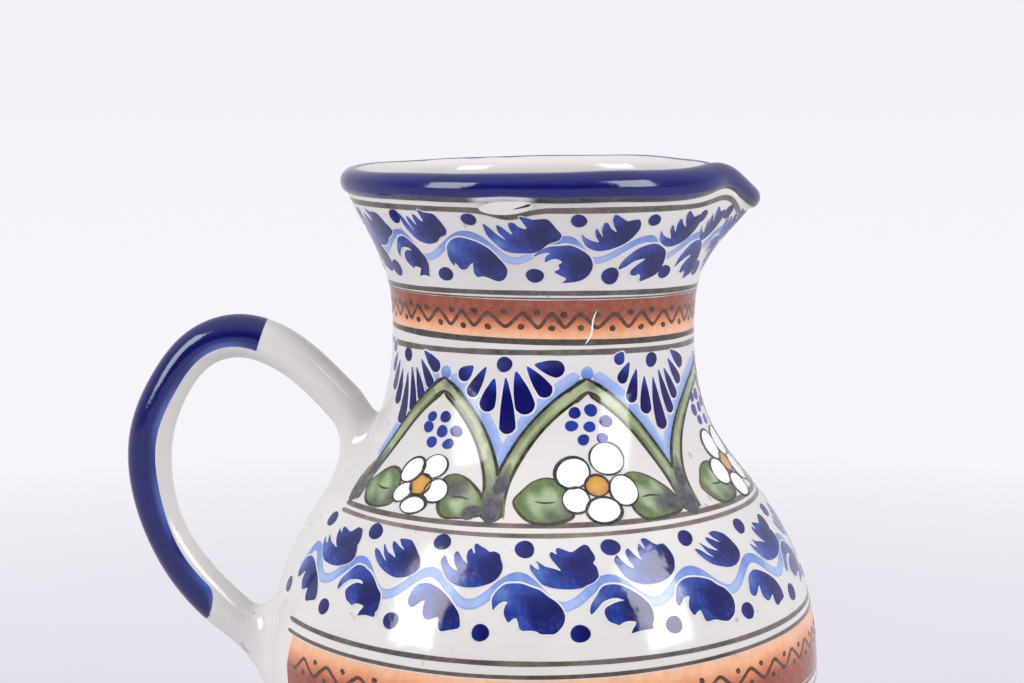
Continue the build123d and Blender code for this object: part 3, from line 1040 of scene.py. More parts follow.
LOWER_CLAW = [
    (-10.3, -0.5), (-10.7, 1.0), (-10.0, 2.9), (-8.3, 5.0), (-6.3, 7.1), (-4.3, 8.0), (-1.7, 8.1),
    (0.7, 7.4), (3.0, 6.1), (5.3, 4.4), (7.3, 2.4), (8.8, 0.6), (9.4, -1.9), (9.0, -4.2), (8.5, -5.2),
    (8.2, -6.5), (5.0, -6.6), (2.7, -6.9), (1.5, -7.3), (2.0, -5.8), (3.3, -3.9), (0.7, -3.5),
    (-0.7, -3.7), (-2.0, -4.4), (-3.0, -3.8), (-4.7, -3.2), (-5.8, -1.9), (-6.2, -0.3), (-5.5, 1.1),
    (-4.0, 2.1), (-2.0, 2.7), (0.7, 2.9), (-0.3, 3.5), (-2.0, 3.9), (-4.3, 3.7), (-6.3, 2.9), (-8.3, 1.3),
]
LOWER_LOBES = [
    (-8.2, -2.1), (-9.6, -0.6), (-9.2, 2.2), (-8.0, 4.7), (-6.0, 5.8), (-3.6, 5.9), (0.0, 5.0),
    (3.2, 3.0), (6.0, 0.8), (7.8, -1.7), (8.8, -4.4), (8.5, -6.3), (5.8, -7.2), (3.2, -7.9), (2.0, -6.1),
    (1.9, -3.6), (0.9, -4.0), (-1.7, -5.0), (-3.4, -3.6), (-4.1, -1.4), (-3.9, 0.7), (-5.0, 0.3),
    (-6.3, -1.1),
]

# Where a leaf is light and where it is dark: across, up and colour
UPPER_TONES = (
    (-11.5, 2.5, mix(MID_BLUE, TIP_BLUE, 0.5)),
    (-9.5, -2.5, EDGE_BLUE),
    (-4.5, -5.5, TIP_BLUE),
    (1.0, -6.5, MID_BLUE),
    (-6.5, 1.0, TIP_BLUE),
    (-3.5, 4.0, MID_BLUE),
    (0.0, 6.0, mix(MID_BLUE, TIP_BLUE, 0.4)),
    (-2.5, -1.5, mix(DARK_BLUE, MID_BLUE, 0.3)),
    (1.5, 1.0, DARK_BLUE),
    (3.0, -3.0, mix(DARK_BLUE, MID_BLUE, 0.2)),
    (4.5, 0.5, DARK_BLUE),
    (6.5, -1.5, DARK_BLUE),
    (6.0, 3.0, mix(DARK_BLUE, COBALT, 0.5)),
    (8.5, 0.0, mix(DARK_BLUE, MID_BLUE, 0.15)),
)
LOWER_TONES = (
    (-10.5, 0.5, mix(TIP_BLUE, MID_BLUE, 0.4)),
    (-8.5, 4.0, EDGE_BLUE),
    (-4.5, 6.5, TIP_BLUE),
    (0.0, 6.5, mix(MID_BLUE, TIP_BLUE, 0.3)),
    (-6.0, -2.0, mix(MID_BLUE, DARK_BLUE, 0.2)),
    (-2.5, 0.5, MID_BLUE),
    (-2.0, -4.5, TIP_BLUE),
    (-1.0, 2.5, mix(DARK_BLUE, MID_BLUE, 0.35)),
    (1.5, 1.5, DARK_BLUE),
    (2.0, -2.5, DARK_BLUE),
    (4.5, -2.5, DARK_BLUE),
    (7.0, 0.5, DARK_BLUE),
    (6.5, -5.0, mix(DARK_BLUE, MID_BLUE, 0.3)),
)
HALO = 0.55


def fade(*stops):
    """A colour that changes along a stroke, from stops of (share, colour)."""
    places = [s[0] for s in stops]
    table = np.array([s[1] for s in stops])

    def at(share, side):
        return np.stack([np.interp(share, places, table[:, k]) for k in range(3)], -1)

    return at


HANGING = fade((0, MID_BLUE), (0.4, DARK_BLUE), (1, DARK_BLUE))


def shaded(tones, pale):
    """A leaf's colour from its tones, with hair marks that follow the turn of the brush."""
    middle = np.array([(x, y) for x, y, _ in tones])
    tints = np.array([c for _, _, c in tones])
    phase = hand.uniform(0, TURN)

    def at(x, y):
        gap = (x[..., None] - middle[:, 0]) ** 2 + (y[..., None] - middle[:, 1]) ** 2
        weight = 1 / (gap + 1.2) ** 1.6
        colour = (weight[..., None] * tints).sum(-2) / weight.sum(-1)[..., None]
        turn = np.hypot(x - 4, y - 1)
        hair = np.sin(turn * 5.2 + phase) * np.sin(turn * 2.3 + phase * 2) * smooth(2, 7, turn)
        colour = mix(mix(colour, DARK_BLUE, 0.3 - pale), EDGE_BLUE, 0.16 * hair.clip(0, 1))
        return mix(colour, DARK_BLUE, 0.3 * (-hair).clip(0, 1))

    return at


def settle(theta, z, points, wide=1.0, tall=1.0, turn=0.0):
    """Places on the wall for points drawn in millimetres round a place, scaled and turned."""
    u, v = rotated(*(np.array(points, float) * (wide, tall)).T, turn)
    return np.stack([theta + np.degrees(u / outer_r(z)), z + v * climb(z)], -1)


def rounded(points, steps=4):
    """A closed outline that is eased through its points."""
    p = np.array(points, float)
    before, after, beyond = np.roll(p, 1, 0), np.roll(p, -1, 0), np.roll(p, -2, 0)
    first = after - before
    second = 2 * before - 5 * p + 4 * after - beyond
    third = 3 * p - before - 3 * after + beyond
    parts = [0.5 * (2 * p + first * t + second * t**2 + third * t**3) for t in np.arange(steps) / steps]
    return np.stack(parts, 1).reshape(-1, 2)


def outward(edge):
    """The direction across a closed outline at each of its points."""
    ahead = np.roll(edge, -1, 0) - np.roll(edge, 1, 0)
    return unit(np.stack([-ahead[:, 1], ahead[:, 0]], -1))


def draw_leaf(leaves, halos, tones, theta, z, outline, wide, tall):
    """One leaf, laid with a few pulls of the brush, and a rim of bare white round it."""
    turn = hand.uniform(-3, 3)
    edge = rounded([(x + hand.uniform(-0.15, 0.15), y + hand.uniform(-0.15, 0.15)) for x, y in outline])
    colour = shaded(tones, hand.uniform(0.0, 0.2))
    leaves.fill(edge, colour, LEAF_LIFT, lambda p: settle(theta, z, p, wide, tall, turn))
    rim = [settle(theta, z, edge + outward(edge) * off, wide, tall, turn) for off in (-0.3, HALO)]
    halos.seam(rim, WHITE, HALO_LIFT)


def draw_dot(coat, theta, z, r, colour=COBALT):
    """A blue dot, nearly round."""
    tint = lambda x, y: mix(colour, MID_BLUE, smooth(0.5, -1.2, x) * 0.45)
    girth = r * hand.uniform(0.92, 1.08)
    tall, turn = girth * hand.uniform(0.9, 1.0), hand.uniform(-20, 20)
    coat.blob(theta, z, girth * 1.08, tall, tint, MARK_LIFT, turn, 0.04)


def weave(nodes):
    """A smooth wave round the jug through its crests and hollows, given as places (angle, height)."""
    nodes = sorted((t % 360, z) for t, z in nodes)
    angles = np.array([nodes[-1][0] - 360] + [t for t, z in nodes] + [nodes[0][0] + 360])
    heights = np.array([nodes[-1][1]] + [z for t, z in nodes] + [nodes[0][1]])

    def at(theta):
        theta = np.asarray(theta, float) % 360
        i = np.clip(np.searchsorted(angles, theta, side="right") - 1, 0, len(angles) - 2)
        share = (theta - angles[i]) / (angles[i + 1] - angles[i])
        return heights[i] + (heights[i + 1] - heights[i]) * (1 - np.cos(share * math.pi)) / 2

    return at


def make_vine(name, uppers, lowers, dots, crest, hollow, ribbon, start=0.0, end=360.0, tails=()):
    """A ribbon of pale blue that weaves between an upper and a lower row of leaves.

    A leaf is its angle, its height, its outline, and how wide and tall it is drawn. A row of dots is its
    angles, its height and its dots' radius. The ribbon's crests lie so far left of the lower leaves and over
    them. Its hollows lie so far left of the upper leaves, all at one height.
    """
    leaves, pale = Coat(), Coat()
    crests = [(leaf[0] - crest[0], leaf[1] + crest[1]) for leaf in lowers]
    hollows = [(leaf[0] - hollow[0], hollow[1]) for leaf in uppers]
    path = weave(crests + hollows + list(tails))
    swell, brightness = waver(41, 6, 40), waver(42, 10, 60)

    def width(theta):
        return slanted(ribbon, path, theta, hollow[1]) * (1 + 0.12 * swell(theta))

    def tint(theta, side):
        high = smooth(hollow[1], hollow[1] + 7, path(theta))
        light, deep = mix(PALE_BLUE, WASH_BLUE, 0.3), mix(SKY_BLUE, WASH_BLUE, 0.45)
        colour = mix(light, deep, high + 0.25 * brightness(theta))
        return mix(colour, SKY_BLUE, 0.4 * smooth(0.4, 1, np.abs(side)))

    pale.ring(path, width, tint, LINE_LIFT, start, end, 720, 4)
    for row, tones in ((uppers, UPPER_TONES), (lowers, LOWER_TONES)):
        for leaf in row:
            draw_leaf(leaves, pale, tones, *leaf)
    for angles, z, r in dots:
        for theta in angles:
            draw_dot(leaves, theta, z + hand.uniform(-0.5, 0.5), r)
    leaves.piece(name + "_leaves", BLUE_PAINT, "blue_glaze")
    pale.piece(name + "_ribbon", WASH_PAINT, "pale_blue_glaze")


def spread(measured, count):
    """Angles set for the front, carried on evenly round the back to make up a count."""
    left = count - len(measured)
    gap = (360 - (measured[-1] - measured[0])) / (left + 1)
    return list(measured) + [measured[-1] + gap * (k + 1) for k in range(left)]


def repeated(leaves, count):
    """Leaves set for the front, and the same ones drawn again round the back to make up a count."""
    angles = spread([leaf[0] for leaf in leaves], count)
    return [(angle, *leaves[k % len(leaves)][1:]) for k, angle in enumerate(angles)]


def make_neck_vine():
    """The vine on the neck, which runs all the way round."""
    uppers = repeated(
        (
            (-38.4, 241.4, UPPER_WIDE, 0.74, 0.92),
            (-6.2, 239.7, UPPER_WIDE, 1.0, 1.0),
            (19.5, 240.3, UPPER_CURLED, 1.0, 1.0),
            (45.2, 240.6, UPPER_CURLED, 0.95, 1.0),
            (62.8, 241.3, UPPER_CURLED, 0.72, 0.95),
            (80.5, 239.6, UPPER_WIDE, 0.6, 0.85),
        ),
        14,
    )
    lowers = repeated(
        (
            (-48.8, 231.4, LOWER_CLAW, 0.70, 0.92),
            (-22.6, 232.2, LOWER_MITTEN, 1.0, 1.0),
            (7.5, 230.9, LOWER_RAGGED, 1.0, 1.0),
            (34.8, 230.4, LOWER_HOOK, 1.0, 1.0),
            (57.9, 230.0, LOWER_HOOK, 0.82, 1.05),
            (76.0, 231.0, LOWER_RAGGED, 0.7, 0.95),
        ),
        14,
    )
    upper_dots = spread((-49.4, -22.4, 9.2, 32.8, 54.2, 71.5), 14)
    lower_dots = spread((-62.0, -35.6, -3.6, 22.0, 44.5, 66.0), 14)
    dots = ((upper_dots, 244.6, 2.35), (lower_dots, 226.8, 2.65))
    make_vine("neck_vine", uppers, lowers, dots, (1.5, 8.0), (3.8, 231.9), 2.2)


def make_belly_vine():
    """The vine on the belly, which stops short of the handle on both sides."""
    uppers = (UPPER_HEAVY, UPPER_FEATHER, UPPER_OPEN, UPPER_HEAVY, UPPER_OPEN, UPPER_FEATHER)
    lowers = (LOWER_LOBES, LOWER_CLAW, LOWER_LOBES, LOWER_FIST, LOWER_CLAW, LOWER_FIST)
    rows = ([], [])
    for k in range(16):
        z = 140.4 + hand.uniform(-0.6, 0.4)
        rows[0].append((-54.8 + 19.8 * k, z, uppers[k % 6], 1.0, hand.uniform(0.96, 1.04)))
        z = 128.6 + hand.uniform(-0.8, 0.6)
        rows[1].append((-62.5 + 19.6 * k, z, lowers[k % 6], 1.0, hand.uniform(0.96, 1.04)))
    upper_dots = [-65.0 + 20.0 * k for k in range(17)]
    lower_dots = [-72.6 + 19.8 * k for k in range(17)]
    dots = ((upper_dots, 145.8, 2.7), (lower_dots, 122.3, 2.7))
    make_vine("belly_vine", *rows, dots, (2.4, 8.8), (1.2, 129.7), 2.8, -70, 248, ((-70.0, 130.2),))


# ---------------------------------------------------------------- the shoulder panel

PANEL_FOOT = 152.4
FEET = (-62.3, -14.3, 41.6, 93.5, 141.5, 190.5, 240.0)
APEXES = (
    (-38.6, 192.0), (14.6, 192.9), (76.0, 193.2), (119.0, 192.4), (166.0, 192.5), (215.0, 192.0),
)
# A leg of an arch, from its foot to its apex, in shares across and up
LEG = (
    (0.03, 0.0), (0.02, 0.16), (0.06, 0.32), (0.15, 0.46), (0.27, 0.59), (0.42, 0.71), (0.6, 0.82),
    (0.78, 0.906), (0.91, 0.957),
)
# The join of the two stems, in millimetres across and up from the apex
TIP = [(-4.6, -1.9), (0.0, 0.9), (4.6, -1.9), (3.2, -4.9), (0.0, -2.8), (-3.2, -4.9)]
STEM_WIDTH = 3.6
STEM_LEAN = 0.55


def make_arches():
    """The green arches, each of two stems that lean together, with blue wash along their outsides."""
    stems, edges, wash = Coat(), Coat(), Coat()
    for k, apex in enumerate(APEXES):
        for foot, turned in ((FEET[k], 1), (FEET[k + 1], -1)):
            rise = apex[1] - PANEL_FOOT
            path = [(foot + (apex[0] - foot) * s, PANEL_FOOT + rise * t) for s, t in LEG]
            phase = hand.uniform(0, TURN)

            def green(share, side, phase=phase):
                shade = mix(LEAF_GREEN, SAGE, 0.55 + 0.45 * np.sin(share * 9 + phase))
                shade = mix(shade, OLIVE, 0.55 * smooth(0.35, 1.0, np.abs(side)))
                shade = mix(shade, SAGE, 0.7 * smooth(0.6, 0.1, np.abs(side + 0.15)))
                blot = smooth(0.30, 0.06, share + 0.05 * np.sin(side * 4 + phase))
                return mix(shade, SLATE, 0.85 * blot)

            blue = lambda share, side: mix(WASH_BLUE, PALE_BLUE, smooth(-1, 1, side * turned) * 0.8)
            top = (apex[0] - turned * 0.6, apex[1] - 0.8)
            wash.brush(path[2:] + [top], [2.4, 3.4, 3.8, 4.4], blue, WASH_LIFT, shift=turned * 3.6)
            glow = lambda share, side: mix(LIME, WHITE, smooth(-1, 1, -side * turned))
            wash.brush(path[4:], [0.8, 2.4, 3.4], glow, WASH_LIFT, shift=-turned * 3.2)
            lean = -turned * STEM_LEAN
            under = [STEM_WIDTH + spare for spare in (2.0, 1.9, 1.5, 1.7)]
            edges.brush(path, under, BROWN, UNDER_LIFT, shift=lean)
            taper = [STEM_WIDTH * share for share in (0.9, 0.95, 1.0, 1.0)]
            lift = STEM_LIFT + PARTED * (turned > 0)
            stems.brush(path, taper, green, lift, across=8, shift=lean)
            for away, broken in ((turned, 0.15), (-turned, 0.6)):
                first = hand.uniform(broken * 0.2, broken * 0.5)
                dark = fade((0, BROWN), (0.4, BLACK), (1, BLACK))
                part = path[int(first * 8) :]
                beside = away * (STEM_WIDTH / 2 + 0.3) + lean
                edges.brush(part, [0.5, 1.0, 0.8, 1.0], dark, OUTLINE_LIFT, shift=beside)
        tip = np.array(TIP)
        spot = lambda points, apex=apex: settle(apex[0] + 0.4, apex[1], points)
        joined = lambda x, y: mix(SAGE, SLATE, 0.7 * smooth(3.2, 0.8, np.hypot(x - 1.6, y + 0.6)))
        stems.fill(tip, joined, STEM_LIFT + 0.007, spot)
        edges.fill(tip * (1.12, 1.35) + (0, 0.2), BROWN, UNDER_LIFT + 0.002, spot)
        for corner in (((-6.6, -3.0), (-0.6, 1.1), (0.2, 1.3)), ((-0.5, 1.4), (5.8, -2.4), (7.4, -3.6))):
            edges.brush(spot(corner), [0.7, 1.2, 0.8], BLACK, OVER_LIFT, step=0.6)
        for corner in (((-4.0, -5.4), (-1.0, -3.3), (0.3, -2.6)), ((-0.3, -2.8), (2.4, -4.0), (4.4, -5.8))):
            edges.brush(spot(corner), [0.8, 1.0, 0.6], BROWN, OVER_LIFT, step=0.6)
        cap = lambda x, y: mix(SKY_BLUE, WASH_BLUE, smooth(-1, 1, y))
        wash.blob(apex[0] + 0.4, apex[1] + 2.9, 2.0, 2.2, cap, WASH_LIFT + 0.005)
    fresh = mix(LEAF_GREEN, SAGE, 0.45)
    for foot in FEET:
        lean = hand.uniform(-0.5, 0.5)
        soaked = lambda share, side: mix(SLATE, fresh, 0.9 * smooth(0.45, 1, share + 0.15 * np.abs(side)))
        trunk = [(foot + lean, 151.4), (foot - 0.4, 156.0), (foot, 160.5), (foot + 0.5, 165.0)]
        stems.brush(trunk, [2.4, 5.4, 7.0, 6.2, 2.2], soaked, OVER_LIFT, across=6)
        branch = [(foot + 0.6, 159.5), (foot + 2.0, 164.5), (foot + 3.6, 169.0)]
        stems.brush(branch, [3.4, 4.4, 3.0, 1.2], soaked, OVER_LIFT + PARTED, across=6)
        edges.brush([(foot + 3.4, 153.2), (foot + 2.8, 159.0)], [0.6, 0.9, 0.4], OLIVE, MARK_LIFT)
    stems.piece("arch_stems", GREEN_PAINT, "green_glaze")
    edges.piece("arch_outlines", LINE_PAINT, "line_glaze")
    wash.piece("arch_wash", WASH_PAINT, "pale_blue_glaze")


# A petal is its middle across and up from the flower's eye, its two half sizes and its turn
OPEN_FLOWER = (
    (4.8, 9.2, 6.0, 5.7, 0),
    (-7.4, 4.8, 5.6, 5.0, 30),
    (-7.3, -4.5, 3.9, 4.2, 0),
    (0.9, -8.6, 4.9, 4.1, 0),
    (8.5, -2.2, 4.4, 5.1, 0),
)
SHY_FLOWER = (
    (2.9, 7.6, 4.9, 4.3, 10),
    (-6.2, 4.8, 4.0, 5.0, -35),
    (-6.1, -3.4, 3.1, 3.7, -30),
    (0.4, -8.0, 4.3, 3.0, 8),
    (7.0, -1.8, 4.2, 4.2, 0),
)
TURNED_FLOWER = (
    (7.7, 7.0, 6.0, 5.7, 0),
    (-4.2, 7.6, 5.2, 5.6, 20),
    (-9.0, -2.0, 5.0, 4.6, 20),
    (-1.8, -8.3, 4.7, 4.2, 0),
    (8.6, -3.6, 4.6, 5.0, 0),
)
RIGHT_LEAF = (
    (8.6, 1.0), (10.5, 3.2), (13.8, 3.6), (17.6, 2.2), (21.2, -0.6), (24.2, -4.0), (25.9, -8.6),
    (25.0, -10.6), (21.8, -11.6), (17.6, -12.2), (13.0, -12.2), (10.2, -9.0), (9.6, -4.8),
)
LEFT_LEAF = (
    (-25.6, -5.1), (-23.2, -1.5), (-20.3, 1.4), (-16.5, 2.8), (-13.0, 2.0), (-10.2, -1.3), (-8.8, -6.2),
    (-8.8, -10.0), (-12.0, -11.7), (-16.2, -12.4), (-20.3, -11.7), (-23.5, -9.1),
)
# A flower is its angle, its height, its size and its petals, and its leaves' size and how far they are raised
FLOWERS = (
    (-37.7, 160.6, 0.95, SHY_FLOWER, 0.92, 1.5),
    (14.7, 162.2, 1.0, OPEN_FLOWER, 1.0, 0.0),
    (71.6, 162.3, 1.0, TURNED_FLOWER, 0.95, 0.0),
    (118.0, 160.8, 1.0, SHY_FLOWER, 0.95, 0.5),
    (166.5, 161.2, 1.0, OPEN_FLOWER, 0.95, 0.0),
    (215.5, 160.6, 1.0, SHY_FLOWER, 0.95, 0.5),
)


def outline_of(shape, grow=0.0):
    """A rounded outline through a shape's points, moved outward all round by a little."""
    edge = rounded(shape)
    across = outward(edge)
    facing = np.sign(((edge - edge.mean(0)) * across).sum())
    return edge + across * facing * grow


def trace(coat, place, edge, width, colour, lift):
    """A thin line drawn by hand round a closed outline."""
    count = len(edge)
    press = np.arange(count) * 2 * math.pi / count * hand.choice([1, 2, 3]) + hand.uniform(0, TURN)
    press = 1 + 0.45 * np.sin(press)
    across = outward(edge)
    coat.seam([place(edge + across * side * width / 2 * press[:, None]) for side in (-1, 1)], colour, lift)


def oval(x, y, half_wide, half_tall, turn=0, count=26):
    """The outline of an oval."""
    angle = np.arange(count) * 2 * math.pi / count
    a, b = rotated(half_wide * np.cos(angle), half_tall * np.sin(angle), turn)
    return np.stack([x + a, y + b], -1)


def make_flowers():
    """A white flower with an ochre eye and a green leaf to each side stands under each arch."""
    greens, edges, petals, eyes = Coat(), Coat(), Coat(), Coat()
    for theta, z, size, flower, leaf_size, leaf_rise in FLOWERS:
        place = lambda p, theta=theta, z=z: settle(theta, z, p)
        for side, shape in ((-1, LEFT_LEAF), (1, RIGHT_LEAF)):
            leaf = np.array(shape) * leaf_size + (0, leaf_rise)
            middle = leaf.mean(0)
            shy = flower is SHY_FLOWER
            blot = middle + ((3.0, -3.0) if side < 0 else (-3.0, 2.6) if shy else (4.6, -2.0))

            def green(x, y, middle=middle, blot=blot, side=side):
                out = np.hypot((x - middle[0]) / 8.5, (y - middle[1]) / 7.5)
                shade = mix(SAGE, LEAF_GREEN, smooth(0.15, 0.85, out + 0.16 * np.sin(x * 0.9 + y * 0.4)))
                shade = mix(shade, OLIVE, 0.6 * smooth(0.8, 1.05, out))
                away = np.hypot(x - blot[0], (y - blot[1]) * 1.3)
                return mix(shade, SLATE, (0.9 if side > 0 else 0.4) * smooth(7.0, 2.0, away))

            greens.fill(outline_of(leaf), green, BROAD_LIFT, place)
            if side > 0:
                spill = place([middle + ((4.6, -4.6) if shy else (7.4, -3.6))])[0]
                pool = lambda x, y: mix(SLATE, LEAF_GREEN, 0.2 * smooth(0.5, 1, np.hypot(x, y)))
                greens.blob(*spill, 3.4, 2.2, pool, OUTLINE_LIFT + 0.006, 20, 0.10)
            trace(edges, place, outline_of(leaf, 0.2), 0.75, mix(BROWN, BLACK, 0.3), OUTLINE_LIFT)
            vein = np.array([(-3.6, -0.2), (0.0, 0.3), (3.4, -0.4)]) * side + middle
            edges.brush(place(vein), [0.3, 0.8, 0.3], BROWN, OUTLINE_LIFT)
        for k, (x, y, half_wide, half_tall, turn) in enumerate(flower):
            x, y = x * size, y * size
            tint = hand.choice([0.0, 0.0, 0.12])
            white = lambda a, b, tint=tint, x=x: mix(PETAL, MINT, tint * smooth(-4, 4, a - x))
            half_wide, half_tall = half_wide * size, half_tall * size
            lift = PETAL_LIFT + 2 * PARTED * k
            petals.fill(oval(x, y, half_wide, half_tall, turn), white, lift, place)
            for loose in (0.25, 0.55)[: 1 + k % 2]:
                x, y = x + hand.uniform(-0.35, 0.35), y + hand.uniform(-0.35, 0.35)
                ring = oval(x, y, half_wide + loose, half_tall + loose, turn)
                trace(edges, place, ring, 0.5, BLACK, INK_LIFT)
        trace(edges, place, oval(0, 0, 3.9, 3.7), 0.7, BLACK, INK_LIFT + 0.005)
        amber = lambda x, y: mix(OCHRE, AMBER, smooth(1.8, 3.4, np.hypot(x, y)) * 0.7)
        eyes.fill(oval(0, 0, 3.6, 3.5), amber, EYE_LIFT, place)
    greens.piece("flower_leaves", GREEN_PAINT, "green_glaze")
    edges.piece("flower_outlines", LINE_PAINT, "line_glaze")
    petals.piece("flower_petals", PETAL_PAINT, "white_glaze")
    eyes.piece("flower_eyes", ORANGE_PAINT, "ochre_glaze")


# The berries of a cluster, in millimetres from its middle, and the clusters' own places on the jug
BERRIES = ((-5.4, 4.6), (0.2, 4.8), (-6.0, 0.6), (0.0, 0.1), (5.4, 1.2), (-3.0, -3.6), (3.6, -4.0))
BERRY_CLUSTERS = (
    (-36.4, 176.3), (15.4, 179.4), (72.5, 179.7), (118.0, 178.8), (166.0, 179.2), (215.0, 178.4),
)
FAN_Z = 198.7
FAN_DOTS = (-60.6, -14.7, 42.1, 93.5, 142.0, 191.0, 240.5)
# A fan's petals: tip and round end, across and down from the fan's dot, and how broad each grows
LOOSE_FAN = (
    (9.6, 0.0, 19.0, -1.9, 5.4),
    (7.2, -0.6, 14.2, -9.8, 5.0),
    (3.7, -2.2, 7.5, -15.4, 6.2),
    (0.4, -4.2, 1.7, -21.6, 5.0),
    (-3.2, -4.5, -5.8, -14.9, 5.2),
    (-6.0, -1.0, -11.4, -10.6, 4.2),
    (-10.6, -0.9, -15.5, -5.2, 4.6),
)
FULL_FAN = (
    (9.6, 2.2, 17.0, -3.4, 4.4),
    (8.0, -0.5, 14.2, -9.0, 3.8),
    (5.8, -3.4, 10.6, -13.5, 3.8),
    (3.0, -3.4, 7.0, -17.7, 3.8),
    (0.4, -5.7, 1.6, -22.3, 4.6),
    (-3.4, -5.2, -4.0, -17.0, 4.4),
    (-6.5, -2.5, -9.6, -12.9, 4.2),
    (-9.2, -0.3, -12.9, -6.7, 3.8),
    (-11.4, 3.1, -14.0, -0.6, 4.0),
)
# How a petal widens: shares of its length and of its half width
PETAL_SIDE = ((0.08, 0.22), (0.3, 0.5), (0.62, 0.82))


def make_fans_and_berries():
    """Blue fans that hang between the arches, and clusters of blue berries under them."""
    coat, halos = Coat(), Coat()
    for theta, z in BERRY_CLUSTERS:
        for x, y in BERRIES:
            at = settle(theta, z, [(x + hand.uniform(-0.5, 0.5), y + hand.uniform(-0.5, 0.5))])[0]
            tone = mix(COBALT, MID_BLUE, hand.uniform(0.2, 1.0))
            draw_dot(coat, *at, 1.9, tone)
    for k, theta in enumerate(FAN_DOTS):
        draw_dot(coat, theta, FAN_Z, 2.35)
        for x0, y0, x1, y1, width in FULL_FAN if k % 2 == 0 else LOOSE_FAN:
            shift = np.array([hand.uniform(-0.2, 0.2), hand.uniform(-0.2, 0.2)])
            start, end = np.array([x0, y0]) + shift, np.array([x1, y1]) + shift
            ahead = unit(end - start)
            beside = np.array([-ahead[1], ahead[0]])
            waist = np.linalg.norm(end - start) - width / 2
            side = [(waist * share, width / 2 * half) for share, half in PETAL_SIDE]
            side += [(waist + width / 2 * math.sin(a), width / 2 * math.cos(a)) for a in (0, 0.52, 1.05)]
            shape = [start] + [start + ahead * along + beside * half for along, half in side] + [end]
            shape += [start + ahead * along - beside * half for along, half in side[::-1]]
            edge = outline_of(shape)
            away = lambda x, y, start=start: np.hypot(x - start[0], y - start[1])
            shade = lambda x, y: mix(MID_BLUE, COBALT, smooth(1.0, 5.0, away(x, y)))
            place = lambda p, theta=theta: settle(theta, FAN_Z, p)
            coat.fill(edge, shade, COBALT_LIFT, place)
            trace(halos, place, outline_of(shape, 0.2), 0.6, WHITE, LINE_LIFT + 0.002)
    coat.piece("fans_and_berries", BLUE_PAINT, "blue_glaze")
    halos.piece("fan_halos", WASH_PAINT, "white_glaze")


def make_lower_panel():
    """Below the second orange band: hanging petals between lines, and a cobalt band over the foot."""
    coat, arcs = Coat(), Coat()
    for k in range(24):
        theta = k * 15.0 + 4
        for angle, length, width in ((0.0, 17.0, 5.4), (38.0, 12.5, 4.4), (-38.0, 12.5, 4.4)):
            ends = [rotated(0, -r, angle) for r in (3.0, 3.0 + length / 2, 3.0 + length)]
            path = settle(theta, 77.0, ends)
            coat.brush(path, [width * 0.35, width * 0.7, width, width], HANGING, MARK_LIFT, step=2.0)
        for off, z, r in ((0.0, 79.5, 2.0), (7.5, 50.0, 2.4), (7.5, 72.0, 1.6)):
            draw_dot(coat, theta + off, z, r)
        hang = [(-7.2, 77.0), (-5.0, 60.0), (0.0, 52.0), (5.0, 60.0), (7.2, 77.0)]
        hang = [(theta + 7.5 + off, z) for off, z in hang]
        arcs.brush(hang, [1.2, 2.4, 2.8, 2.4, 1.2], WASH_BLUE, LINE_LIFT)
    soft = lambda theta, side: mix(WASH_BLUE, PALE_BLUE, np.abs(side))
    deep = lambda theta, side: mix(COBALT, MID_BLUE, 0.25 * (side > 0.9))
    arcs.ring(level(38.5, 38.5, 38.5), steady(3.0, 44), soft, LINE_LIFT)
    coat.ring(level(15.0, 15.0, 15.0), steady(14.0, 45, 0.02), deep, BROAD_LIFT, rows=8)
    coat.piece("lower_panel", BLUE_PAINT, "blue_glaze")
    arcs.piece("lower_panel_wash", WASH_PAINT, "pale_blue_glaze")


def make_flaws():
    """Small accidents: a thread of white across the upper orange band and a bead of glaze under the lip."""
    coat = Coat()
    thread = [(18.4, 215.9), (17.0, 212.0), (16.6, 208.5), (14.2, 204.9)]
    coat.brush(thread, [0.3, 0.5, 0.6, 0.4], PETAL, OUTLINE_LIFT)
    coat.blob(-11.0, 249.3, 8.2, 2.4, mix(WHITE, PETAL, 0.3), BEAD_LIFT, 3, 0.06, cells=10)
    coat.brush([(-9.0, 248.9), (-6.5, 249.6), (-4.0, 250.4)], [0.2, 0.5, 1.0], BLACK, BEAD_LIFT + 0.1)
    coat.piece("glaze_flaws", PETAL_PAINT, "white_glaze")


make_lines()
make_orange_band("upper_orange_band", level(219.2, 219.2, 218.3), level(206.6, 207.6, 205.5), 0, 360, 51, 1)
make_orange_band("lower_orange_band", level(108.6, 109.7, 112.6), level(92.0, 92.4, 93.4), -64, 244, 53, -1)
make_zigzag("upper_zigzag", level(212.7, 213.2, 211.8), 32, 4.1, 0, 360, 0.9)
make_zigzag("lower_zigzag", level(101.6, 102.6, 104.6), 44, 4.0, -61, 241, 0.85)
make_neck_vine()
make_belly_vine()
make_arches()
make_flowers()
make_fans_and_berries()
make_lower_panel()
make_flaws()

# ---------------------------------------------------------------- the studio

BACKDROP = srgb(244, 241, 249)
ROOM_FRONT = srgb(70, 68, 76)
ROOM_BACK = srgb(240, 237, 246)
ROOM_TOP = (1.15, 1.13, 1.17)
ROOM_STRENGTH = 0.83
FLOOR_TONES = srgb(212, 209, 218), srgb(216, 213, 221)
FLOOR_GLOW = srgb(247, 244, 251)

# Lengths in the studio are metres
JUG_MIDDLE = (0, 0, 0.17)
SOFTBOX_RISE = 26
SOFTBOX_DISTANCE = 1.3
SOFTBOX_SIZE = (0.48, 0.85)
SOFTBOX_TINT = (1, 0.99, 0.98)
CAMERA_PLACE = (-0.0105, -0.725, 0.2929)
CAMERA_DIP = 7.33
CAMERA_LENS = 76.3


